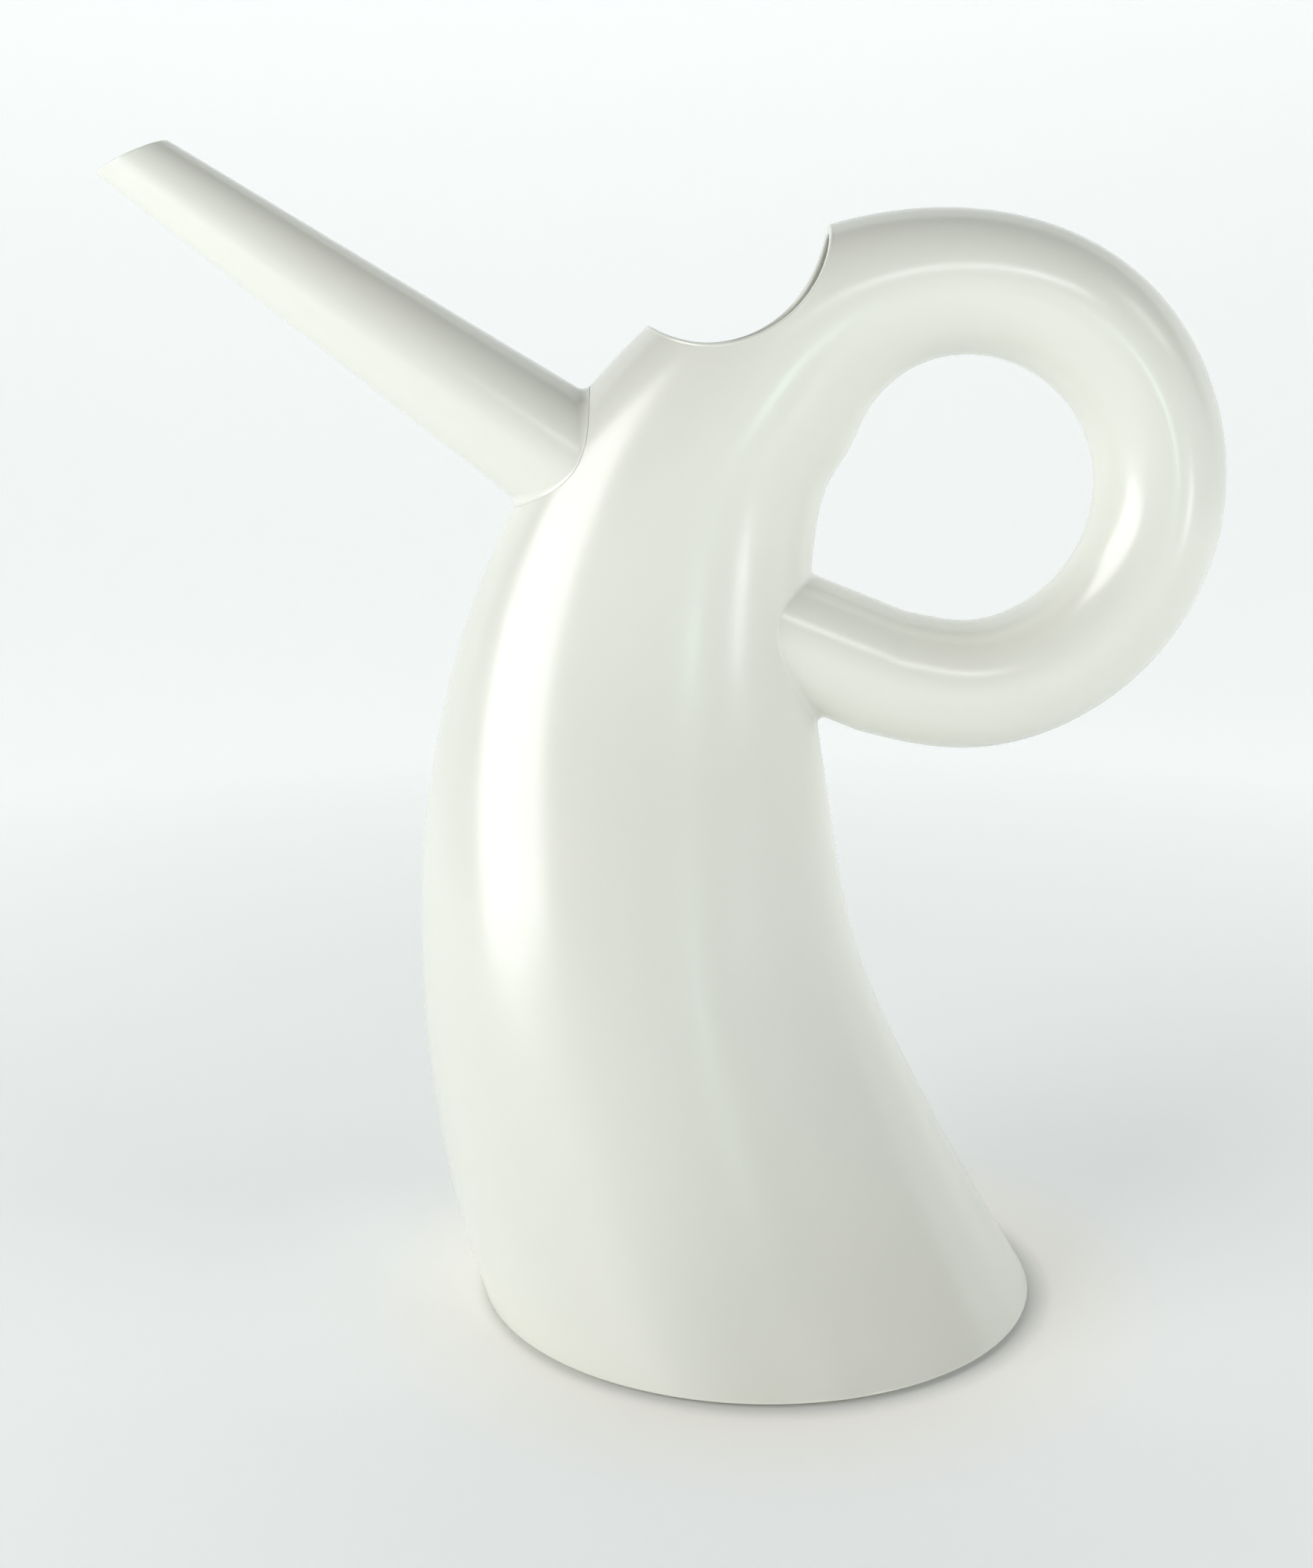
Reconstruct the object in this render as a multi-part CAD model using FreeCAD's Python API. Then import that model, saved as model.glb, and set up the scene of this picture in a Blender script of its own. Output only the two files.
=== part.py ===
import FreeCAD, Part
import bisect
import math

# A moulded watering can: a swan-necked hollow body that curls over into its own carrying loop, a straight
# tapered spout that pulls out of a socket in the body's front, and a base plate that carries the foot.
# Frame: origin on the floor under the middle of the foot, +Z up, the spout points towards -X, the carrying
# loop lies towards +X, and the body's plane of symmetry is y = 0. All sizes are in millimetres.

Vector = FreeCAD.Vector

# Overall sizes
FOOT_DIAMETER = 152.0
LOOP_CENTRE_X = 48.75
LOOP_CENTRE_HEIGHT = 221.25
LOOP_RADIUS = 52.0
TUBE_DIAMETER = 34.0
CROWN_TUBE_DIAMETER = 36.4
MOUTH_RADIUS = 30.0
SPOUT_LENGTH = 126.5
SPOUT_ROOT_DIAMETER = 33.0
SPOUT_TIP_DIAMETER = 17.0

# Body
BODY_WALL = 2.5
SECTION_STEPS = 46
RIM_STEPS = 12
FLAT_TOLERANCE = 1e-6
EDGE_SAMPLES = 8
BISECTIONS = 60
LOOP_END_ANGLE = -112.0
LOOP_END_WALL = 3.0
LEAST_BORE_REACH = 1.0

# Level sections of the body: height as a share of the loop's height, then how far the front edge, the back
# edge and the side stand from the foot's axis, each as a share of the foot's radius
LEVEL_SECTIONS = (
    (0.000, 1.025, 0.985, 1.000),
    (0.118, 1.128, 0.779, 0.850),
    (0.271, 1.208, 0.539, 0.710),
    (0.441, 1.240, 0.322, 0.592),
    (0.629, 1.204, 0.211, 0.470),
    (0.814, 1.084, 0.141, 0.372),
)

# Sections of the neck, which fan round the loop's centre: angle in degrees, then how far the outer and the
# inner edge stand from that centre, as a share of the loop's radius, and the half depth in tube radii
NECK_SECTIONS = (
    (180.0, 2.183, 0.666, 1.482),
    (160.0, 1.840, 0.588, 1.370),
    (140.0, 1.608, 0.604, 1.240),
    (118.0, 1.442, 0.633, 1.130),
)
CROWN_ANGLE = 90.0
LOOP_ANGLES = (55.0, 20.0, -15.0, -50.0, -85.0, LOOP_END_ANGLE)
TAPER_END_ANGLE = 20.0

# Mouth: a round bite across the neck, placed from the loop's centre in loop radii
MOUTH_BACK = -1.258
MOUTH_UP = 1.286

# Foot and base plate
RIM_GAP = 1.2
BASE_RIM_WIDTH = 7.5
BASE_SEAT_DEPTH = 5.0
BASE_LEDGE_WIDTH = 3.0
BASE_LEDGE_HEIGHT = 2.0
BASE_PLATE_THICKNESS = 3.0
BASE_BOND_GAP = 0.05
FOOT_RING_INSET = 4.0
FOOT_RING_WIDTH = 5.0

# Spout and its joint; depths are measured into the body from the seat point on the body's front edge
SPOUT_SEAT_ANGLE = 174.8
SPOUT_RISE_ANGLE = 34.4
SPOUT_TIP_WALL = 2.0
SPOUT_LIP_ANGLE = 24.7
SADDLE_GAP = 0.3
SPIGOT_DIAMETER = 26.0
SPIGOT_LENGTH = 27.0
SPIGOT_WALL = 2.8
SPIGOT_HOLE_GAP = 0.3
SPIGOT_FIT_GAP = 0.08
SLEEVE_WALL = 3.0
SLEEVE_TOP = 11.0
SLEEVE_BOTTOM = 28.0
FLANGE_RISE = 2.5
FLANGE_TOP = 20.0
FLANGE_THICKNESS = 3.0
BOSS_WALL = 2.5
SLEEVE_BOND_GAP = 0.05
SEAL_GROOVE_TOP = 14.0
SEAL_GROOVE_WIDTH = 3.0
SEAL_GROOVE_DEPTH = 1.6
SEAL_GAP = 0.06
SEAL_SIDE_GAP = 0.25
SEAL_EDGE_RADIUS = 0.6

# Sizes that follow from the ones above
FOOT_RADIUS = FOOT_DIAMETER / 2.0
TUBE_RADIUS = TUBE_DIAMETER / 2.0
BASE_BORE_RADIUS = FOOT_RADIUS - BASE_RIM_WIDTH
BASE_SEAT_HEIGHT = RIM_GAP + BASE_SEAT_DEPTH
BASE_LEDGE_TOP = BASE_SEAT_HEIGHT + BASE_LEDGE_HEIGHT
FOOT_RING_RADIUS = BASE_BORE_RADIUS - FOOT_RING_INSET
SPIGOT_RADIUS = SPIGOT_DIAMETER / 2.0
SLEEVE_BORE_RADIUS = SPIGOT_RADIUS + SPIGOT_FIT_GAP
SLEEVE_RADIUS = SLEEVE_BORE_RADIUS + SLEEVE_WALL
FLANGE_RADIUS = SLEEVE_RADIUS + FLANGE_RISE
BOSS_RADIUS = FLANGE_RADIUS + BOSS_WALL
FAR = 1000.0
CUT_MARGIN = 1.0


def spline_through(knots, values):
    """Return a smooth function that passes through the values at the knots, straight at both ends."""
    count = len(knots)
    bends = [0.0] * count
    carry = [0.0] * count
    for i in range(1, count - 1):
        before = knots[i] - knots[i - 1]
        after = knots[i + 1] - knots[i]
        share = before / (before + after)
        pivot = share * bends[i - 1] + 2.0
        bends[i] = (share - 1.0) / pivot
        slope_change = (values[i + 1] - values[i]) / after - (values[i] - values[i - 1]) / before
        carry[i] = (6.0 * slope_change / (before + after) - share * carry[i - 1]) / pivot
    curvature = [0.0] * count
    for i in range(count - 2, 0, -1):
        curvature[i] = bends[i] * curvature[i + 1] + carry[i]

    def value_at(position):
        right = min(max(bisect.bisect_left(knots, position), 1), count - 1)
        left = right - 1
        span = knots[right] - knots[left]
        a = (knots[right] - position) / span
        b = (position - knots[left]) / span
        bend = (a ** 3 - a) * curvature[left] + (b ** 3 - b) * curvature[right]
        return a * values[left] + b * values[right] + bend * span ** 2 / 6.0

    return value_at


class Horn:
    """The body's outer form: level sections that turn into a fan of sections round the loop's centre."""

    def __init__(self):
        rows = []
        for height, front, back, side in LEVEL_SECTIONS:
            middle = FOOT_RADIUS * (back - front) / 2.0
            half_width = FOOT_RADIUS * (back + front) / 2.0
            rows.append((middle, height * LOOP_CENTRE_HEIGHT, 0.0, half_width, side * FOOT_RADIUS))
        for angle, outer, inner, side in NECK_SECTIONS:
            rows.append(self.fan_row(angle, outer * LOOP_RADIUS, inner * LOOP_RADIUS, side * TUBE_RADIUS))
        crown_radius = CROWN_TUBE_DIAMETER / 2.0
        for angle in (CROWN_ANGLE,) + LOOP_ANGLES:
            share = max(0.0, (angle - TAPER_END_ANGLE) / (CROWN_ANGLE - TAPER_END_ANGLE))
            radius = TUBE_RADIUS + share * (crown_radius - TUBE_RADIUS)
            rows.append(self.fan_row(angle, LOOP_RADIUS + radius, LOOP_RADIUS - radius, radius))
        knots = [0.0]
        for one, two in zip(rows, rows[1:]):
            knots.append(knots[-1] + math.hypot(two[0] - one[0], two[1] - one[1]))
        self.knots = knots
        self.length = knots[-1]
        self.columns = [spline_through(knots, [row[k] for row in rows]) for k in range(5)]

    @staticmethod
    def fan_row(angle, outer, inner, half_depth):
        """Return middle x, middle z, tilt, half width and half depth of a section in the fan."""
        turn = math.radians(angle)
        reach = (outer + inner) / 2.0
        x = LOOP_CENTRE_X + reach * math.cos(turn)
        z = LOOP_CENTRE_HEIGHT + reach * math.sin(turn)
        return x, z, math.pi - turn, (outer - inner) / 2.0, half_depth

    def section(self, position):
        """Return middle, outward direction, half width and half depth at a distance along the horn."""
        x, z, tilt, half_width, half_depth = (column(position) for column in self.columns)
        return Vector(x, 0, z), Vector(-math.cos(tilt), 0, math.sin(tilt)), half_width, half_depth

    def position_at_angle(self, angle):
        """Return the distance along the horn at which the section has turned to the fan angle."""
        low = 0.0
        high = self.length
        for _ in range(BISECTIONS):
            middle = (low + high) / 2.0
            if self.columns[2](middle) < math.pi - math.radians(angle):
                low = middle
            else:
                high = middle
        return low

    def rim_points(self, position, grow):
        """Return points on the left half of a section's rim, from the outer edge round to the inner edge."""
        middle, outward, half_width, half_depth = self.section(position)
        points = []
        for j in range(RIM_STEPS + 1):
            turn = math.pi * j / RIM_STEPS
            side = 0.0 if j in (0, RIM_STEPS) else math.sin(turn) * (half_depth + grow)
            points.append(middle + outward * (math.cos(turn) * (half_width + grow)) - Vector(0, side, 0))
        return points

    def left_half(self, grow):
        """Return the left half of the horn, made larger all round by grow, and its flat end at the loop."""
        grid = [self.rim_points(self.length * i / SECTION_STEPS, grow) for i in range(SECTION_STEPS + 1)]
        surface = Part.BSplineSurface()
        surface.interpolate(grid)
        skin = surface.toShape()
        rails = []
        rims = []
        for edge in skin.Edges:
            on_plane = max(abs(edge.valueAt(t).y) for t in self.samples(edge)) < FLAT_TOLERANCE
            (rails if on_plane else rims).append(edge)
        rims.sort(key=lambda edge: edge.BoundBox.DiagonalLength, reverse=True)
        chords = [Part.LineSegment(rim.firstVertex().Point, rim.lastVertex().Point).toShape() for rim in rims]
        parting = Part.Face(Part.Wire(Part.__sortEdges__(rails + chords)))
        caps = [Part.Face(Part.Wire([rim, chord])) for rim, chord in zip(rims, chords)]
        shell = Part.makeShell([skin, parting] + caps)
        shell.sewShape()
        solid = Part.makeSolid(shell)
        if solid.Volume < 0:
            solid.reverse()
        return solid, caps[1]

    @staticmethod
    def samples(edge):
        """Return parameters spread along an edge."""
        first, last = edge.ParameterRange
        return [first + (last - first) * k / EDGE_SAMPLES for k in range(EDGE_SAMPLES + 1)]


def cylinder_between(start, end, radius):
    """Return a cylinder from one point to another."""
    return Part.makeCylinder(radius, (end - start).Length, start, end - start)


def ring(inner, outer, bottom, top):
    """Return a flat ring about the foot's axis."""
    outside = Part.makeCylinder(outer, top - bottom, Vector(0, 0, bottom))
    return outside.cut(Part.makeCylinder(inner, top - bottom, Vector(0, 0, bottom)))


def floor_block(top):
    """Return a block that holds everything below a height."""
    return Part.makeBox(2 * FAR, 2 * FAR, FAR, Vector(-FAR, -FAR, top - FAR))


def mirrored(shape):
    """Return a shape's twin on the other side of the plane of symmetry."""
    return shape.mirror(Vector(0, 0, 0), Vector(0, 1, 0))


def main_solid(shape):
    """Return the largest solid of a shape."""
    return max(shape.Solids, key=lambda solid: solid.Volume)


horn = Horn()
horn_outside, loop_cap = horn.left_half(0.0)

# Where the loop's end runs into the body's back
end_middle, end_outward, end_half_width, end_half_depth = horn.section(horn.length)
end_heading = Vector(end_outward.z, 0, -end_outward.x)
body_middle_x = FOOT_RADIUS * (LEVEL_SECTIONS[-1][2] - LEVEL_SECTIONS[-1][1]) / 2.0
body_back_x = FOOT_RADIUS * LEVEL_SECTIONS[-1][2]
end_reach = (end_middle.x - body_middle_x) / -end_heading.x
end_bore_stop = body_back_x + LOOP_END_WALL + TUBE_RADIUS / 2.0
end_bore_reach = max((end_middle.x - end_bore_stop) / -end_heading.x, LEAST_BORE_REACH)
loop_end = loop_cap.extrude(end_heading * end_reach)

# Where the spout stands on the body's front
seat_position = horn.position_at_angle(SPOUT_SEAT_ANGLE)
seat_middle, seat_outward, seat_half_width, seat_half_depth = horn.section(seat_position)
seat = seat_middle + seat_outward * seat_half_width
rise = math.radians(SPOUT_RISE_ANGLE)
spout_heading = Vector(-math.cos(rise), 0, math.sin(rise))


def on_spout(depth):
    """Return the point on the spout's axis at a depth into the body."""
    return seat - spout_heading * depth


def spout_cylinder(radius, top, bottom):
    """Return a cylinder on the spout's axis between two depths."""
    return cylinder_between(on_spout(bottom), on_spout(top), radius)


def make_body():
    """Return the left half of the hollow body, parted on the plane of symmetry."""
    outside = horn_outside.fuse(loop_end)
    cavity, cavity_cap = horn.left_half(-BODY_WALL)
    cavity = cavity.fuse(cavity_cap.extrude(end_heading * end_bore_reach))
    cavity = cavity.cut(floor_block(BASE_LEDGE_TOP))
    body = outside.cut(cavity)
    boss = spout_cylinder(BOSS_RADIUS, -SPOUT_ROOT_DIAMETER, SLEEVE_BOTTOM).common(horn_outside)
    body = body.fuse(boss)
    hole_bottom = SLEEVE_BOTTOM + CUT_MARGIN
    spigot_hole = spout_cylinder(SPIGOT_RADIUS + SPIGOT_HOLE_GAP, -SPOUT_ROOT_DIAMETER, hole_bottom)
    sleeve_hole = spout_cylinder(SLEEVE_RADIUS + SLEEVE_BOND_GAP, SLEEVE_TOP, hole_bottom)
    flange_hole = spout_cylinder(
        FLANGE_RADIUS + SLEEVE_BOND_GAP,
        FLANGE_TOP - SLEEVE_BOND_GAP,
        FLANGE_TOP + FLANGE_THICKNESS + SLEEVE_BOND_GAP,
    )
    mouth_middle = Vector(
        LOOP_CENTRE_X + MOUTH_BACK * LOOP_RADIUS, -FAR, LOOP_CENTRE_HEIGHT + MOUTH_UP * LOOP_RADIUS
    )
    mouth = Part.makeCylinder(MOUTH_RADIUS, 2 * FAR, mouth_middle, Vector(0, 1, 0))
    base_bore = Part.makeCylinder(BASE_BORE_RADIUS, FAR, Vector(0, 0, BASE_SEAT_HEIGHT - FAR))
    ledge_bore = Part.makeCylinder(BASE_BORE_RADIUS - BASE_LEDGE_WIDTH, BASE_LEDGE_TOP + BASE_BOND_GAP)
    for tool in (spigot_hole, sleeve_hole, flange_hole, mouth, base_bore, ledge_bore, floor_block(RIM_GAP)):
        body = body.cut(tool)
    return main_solid(body)


def make_base_plate():
    """Return the disc that closes the body, with the ring that it stands on."""
    plate_bottom = BASE_SEAT_HEIGHT - BASE_PLATE_THICKNESS
    plate = Part.makeCylinder(
        BASE_BORE_RADIUS - BASE_BOND_GAP, BASE_PLATE_THICKNESS, Vector(0, 0, plate_bottom)
    )
    foot = ring(FOOT_RING_RADIUS - FOOT_RING_WIDTH, FOOT_RING_RADIUS, 0.0, plate_bottom)
    return main_solid(plate.fuse(foot).removeSplitter())


def make_spout():
    """Return the tapered spout with its saddle, its spigot and the groove for its seal."""
    taper = (SPOUT_ROOT_DIAMETER - SPOUT_TIP_DIAMETER) / 2.0 / SPOUT_LENGTH
    root_radius = SPOUT_ROOT_DIAMETER / 2.0
    saddle_depth = seat_half_width
    tip_reach = SPOUT_LENGTH + SPOUT_TIP_DIAMETER
    tip_radius = root_radius - taper * tip_reach
    deep_radius = root_radius + taper * saddle_depth
    cone = Part.makeCone(
        deep_radius, tip_radius, saddle_depth + tip_reach, on_spout(saddle_depth), spout_heading
    )
    saddle_left, _ = horn.left_half(SADDLE_GAP)
    cone = main_solid(cone.cut(saddle_left).cut(mirrored(saddle_left)))
    spigot = spout_cylinder(SPIGOT_RADIUS, 0.0, SPIGOT_LENGTH)
    spout = cone.fuse(spigot)
    groove = spout_cylinder(SPIGOT_RADIUS + CUT_MARGIN, SEAL_GROOVE_TOP, SEAL_GROOVE_TOP + SEAL_GROOVE_WIDTH)
    groove = groove.cut(
        spout_cylinder(SPIGOT_RADIUS - SEAL_GROOVE_DEPTH, SEAL_GROOVE_TOP - CUT_MARGIN, SPIGOT_LENGTH)
    )
    bore_root_radius = SPIGOT_RADIUS - SPIGOT_WALL
    bore_tip_radius = tip_radius - SPOUT_TIP_WALL
    bore = Part.makeCone(
        bore_root_radius,
        bore_tip_radius,
        SPIGOT_LENGTH + tip_reach,
        on_spout(SPIGOT_LENGTH),
        spout_heading,
    )
    lip = math.radians(SPOUT_LIP_ANGLE)
    lip_block = Part.makeBox(FAR, FAR, FAR, Vector(-FAR / 2.0, -FAR / 2.0, 0))
    lip_block.Placement = FreeCAD.Placement(
        on_spout(-SPOUT_LENGTH), FreeCAD.Rotation(Vector(0, 0, 1), Vector(-math.sin(lip), 0, math.cos(lip)))
    ).multiply(lip_block.Placement)
    for tool in (groove, bore, lip_block):
        spout = spout.cut(tool)
    return main_solid(spout)


def make_sleeve():
    """Return the one-piece socket that the spigot slides in, held by its flange between the halves."""
    sleeve = spout_cylinder(SLEEVE_RADIUS, SLEEVE_TOP, SLEEVE_BOTTOM)
    flange = spout_cylinder(FLANGE_RADIUS, FLANGE_TOP, FLANGE_TOP + FLANGE_THICKNESS)
    bore = spout_cylinder(SLEEVE_BORE_RADIUS, SLEEVE_TOP - CUT_MARGIN, SLEEVE_BOTTOM + CUT_MARGIN)
    return main_solid(sleeve.fuse(flange).cut(bore))


def make_seal():
    """Return the sealing ring, drawn as it lies squeezed in the spigot's groove."""
    top = SEAL_GROOVE_TOP + SEAL_SIDE_GAP
    bottom = SEAL_GROOVE_TOP + SEAL_GROOVE_WIDTH - SEAL_SIDE_GAP
    outside = spout_cylinder(SLEEVE_BORE_RADIUS - SEAL_GAP, top, bottom)
    inner_radius = SPIGOT_RADIUS - SEAL_GROOVE_DEPTH + SEAL_GAP
    inside = spout_cylinder(inner_radius, top - CUT_MARGIN, bottom + CUT_MARGIN)
    seal = main_solid(outside.cut(inside))
    return seal.makeFillet(SEAL_EDGE_RADIUS, [edge for edge in seal.Edges if edge.Closed])


left_shell = make_body()
nodes = {
    "body_shell_left": left_shell,
    "body_shell_right": mirrored(left_shell),
    "base_plate": make_base_plate(),
    "spout": make_spout(),
    "spout_socket": make_sleeve(),
    "spout_seal": make_seal(),
}
for name, shape in nodes.items():
    box = shape.BoundBox
    print(
        name,
        "valid" if shape.isValid() else "not valid",
        "solids %d" % len(shape.Solids),
        "volume %.0f" % shape.Volume,
        "x %.1f to %.1f, y %.1f to %.1f, z %.1f to %.1f"
        % (box.XMin, box.XMax, box.YMin, box.YMax, box.ZMin, box.ZMax),
    )
    shape.exportStep("parts/%s.step" % name)
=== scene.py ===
import logging
import math
from dataclasses import dataclass, field
from enum import Enum
from typing import Callable

import bpy
import numpy as np
from mathutils import Euler, Matrix


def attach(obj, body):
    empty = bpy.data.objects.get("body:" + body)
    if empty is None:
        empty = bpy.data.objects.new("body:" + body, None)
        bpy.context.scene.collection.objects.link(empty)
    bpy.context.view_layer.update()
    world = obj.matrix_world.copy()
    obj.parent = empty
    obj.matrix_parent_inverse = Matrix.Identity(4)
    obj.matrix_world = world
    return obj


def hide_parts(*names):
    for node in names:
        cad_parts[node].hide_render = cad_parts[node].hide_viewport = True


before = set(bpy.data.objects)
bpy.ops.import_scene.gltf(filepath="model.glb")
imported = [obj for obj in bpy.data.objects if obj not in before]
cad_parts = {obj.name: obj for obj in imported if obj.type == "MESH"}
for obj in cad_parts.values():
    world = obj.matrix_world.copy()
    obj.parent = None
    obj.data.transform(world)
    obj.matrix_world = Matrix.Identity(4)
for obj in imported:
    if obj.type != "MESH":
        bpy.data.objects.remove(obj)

# Looks of a glossy white watering can. All sizes are in metres, in the part's own frame: origin on the floor
# under the foot, +Z up, the spout towards -X, the carrying loop towards +X, the plane of symmetry at y = 0.

LOG = logging.getLogger("watering_can")
Array = np.ndarray
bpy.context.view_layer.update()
UP = np.array([0.0, 0.0, 1.0])
ACROSS = np.array([0.0, 1.0, 0.0])
MIRROR = np.array([1.0, -1.0, 1.0])
WELD_SIZE = 2e-6
LEAST_LENGTH = 1e-12
Colour = tuple[float, float, float]
Span = tuple[float, float]

# a place on the horn is a distance along it and an angle round it; these are small steps of each
STEP_ALONG = np.array([1e-5, 0.0])
STEP_ROUND = np.array([0.0, 1e-4])

# how finely the horn is searched and the rim of a hole in it is traced
LEVEL_SAMPLES = 600
TILT_SAMPLES = 4000
LINE_SAMPLES = 900
OPENING_PROBES = 60
LEAST_OPENING = 0.05
WIDEST_OPENING = 3.0
HALVINGS = 46
RIM_SAMPLES = 161

# how square a rounded rim is; 1 is a half circle
RIM_FLATNESS = 0.72

# the plastic's refraction, and the weld line's edges, strength and depth in the body's bump
PLASTIC_IOR = 1.49
SEAM_EDGES = (0.00004, 0.00022)
SEAM_STRENGTH = 0.25
SEAM_DEPTH = 0.0002


class Edge(Enum):
    """The edge line of the body, in its plane of symmetry, from which a hole opens."""

    FRONT = "front"
    BACK = "back"


class Body(Enum):
    """The moving bodies of the part."""

    CAN = "can"
    SPOUT = "spout"


def unit(vectors: Array) -> Array:
    """Scale vectors, on the last axis, to length one."""
    return vectors / np.maximum(np.linalg.norm(vectors, axis=-1, keepdims=True), LEAST_LENGTH)


def grid_normals(points: Array, towards: Array) -> Array:
    """Find a grid's unit normals from its own lines, on the side that the outside faces towards."""
    normals = unit(np.cross(np.gradient(points, axis=0), np.gradient(points, axis=1)))
    return -normals if np.sum(normals * towards) < 0 else normals


def blend(start: Array, end: Array, steps: int) -> Array:
    """Fill straight lines between two rows of points, with a number of faces between them."""
    share = np.linspace(0.0, 1.0, steps + 1)[:, None, None]
    return (1.0 - share) * start[None] + share * end[None]


def lengths(points: Array) -> Array:
    """Return the running length along a line of points."""
    return np.concatenate([[0.0], np.cumsum(np.linalg.norm(np.diff(points, axis=0), axis=1))])


def evenly(line: Array, key: Array, count: int) -> Array:
    """Read a line of places again at even steps.

    Args:
        line: the places, one row each.
        key: a measure along the line that only rises or only falls, one value for each place.
        count: how many steps to make.

    Returns:
        The places at the steps, from the line's first to its last.
    """
    run = np.abs(key - key[0])
    wanted = np.linspace(0.0, run[-1], count + 1)
    return np.stack([np.interp(wanted, run, column) for column in line.T], -1)


def places_at(along: Array | float, turn: Array | float) -> Array:
    """Pair distances along the horn with angles round it."""
    return np.stack(np.broadcast_arrays(along, turn), -1)


def halved(inside: Array, outside: Array, is_inside: Callable[[Array], Array]) -> Array:
    """Close in on an edge by halving.

    Args:
        inside: values on the near side of the edge.
        outside: values beyond it.
        is_inside: tells which of some values lie on the near side.

    Returns:
        The last values found on the near side.
    """
    for _ in range(HALVINGS):
        middle = (inside + outside) / 2.0
        is_in = is_inside(middle)
        inside = np.where(is_in, middle, inside)
        outside = np.where(is_in, outside, middle)
    return inside


def linked(name: str, data: bpy.types.ID) -> bpy.types.Object:
    """Make an object and link it to the scene.

    Args:
        name: the object's name.
        data: its mesh, lamp or camera.

    Returns:
        The object.
    """
    obj = bpy.data.objects.new(name, data)
    bpy.context.scene.collection.objects.link(obj)
    return obj


class SkinBuilder:
    """Collects smooth patches, welds them along their common edges and gives each its own exact normals."""

    def __init__(self) -> None:
        """Start with no patches."""
        self.corner_points: list[Array] = []
        self.corner_normals: list[Array] = []

    def add(self, points: Array, normals: Array) -> None:
        """Add one patch.

        Args:
            points: the patch's grid, of shape (rows, columns, 3).
            normals: outward normals, one for each point, one for each column or one for all.
        """
        quads, sides = (
            np.stack([g[:-1, :-1], g[1:, :-1], g[1:, 1:], g[:-1, 1:]], 2).reshape(-1, 4, 3)
            for g in (points, np.broadcast_to(normals, points.shape))
        )
        turn = np.cross(quads[:, 2] - quads[:, 0], quads[:, 3] - quads[:, 1])
        if np.sum(turn * sides.mean(axis=1)) < 0:
            quads = quads[:, ::-1]
            sides = sides[:, ::-1]
        self.corner_points.append(quads)
        self.corner_normals.append(sides)

    def add_with_twin(self, points: Array, normals: Array) -> None:
        """Add a patch, as add does, and its mirror image across the plane of symmetry."""
        self.add(points, normals)
        self.add(points * MIRROR, normals * MIRROR)

    def make(self, name: str) -> bpy.types.Object:
        """Weld the patches into one mesh object.

        Args:
            name: the object's name.

        Returns:
            The new object, linked to the scene.
        """
        corners = np.concatenate(self.corner_points).reshape(-1, 3)
        normals = unit(np.concatenate(self.corner_normals).reshape(-1, 3))
        keys = np.round(corners / WELD_SIZE).astype(np.int64)
        _, first, index = np.unique(keys, axis=0, return_index=True, return_inverse=True)
        index = index.reshape(-1, 4)
        faces: list[list[int]] = []
        face_normals: list[Array] = []
        for number, face in enumerate(index):
            kept = [k for k in range(4) if face[k] != face[k - 1]]
            if len(set(face[kept])) < 3:
                continue
            faces.append([int(face[k]) for k in kept])
            face_normals.extend(normals[4 * number + k] for k in kept)
        mesh = bpy.data.meshes.new(name)
        mesh.from_pydata(corners[first].tolist(), [], faces)
        mesh.polygons.foreach_set("use_smooth", np.ones(len(faces), dtype=bool))
        mesh.normals_split_custom_set([tuple(normal) for normal in face_normals])
        mesh.update()
        return linked(name, mesh)


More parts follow.
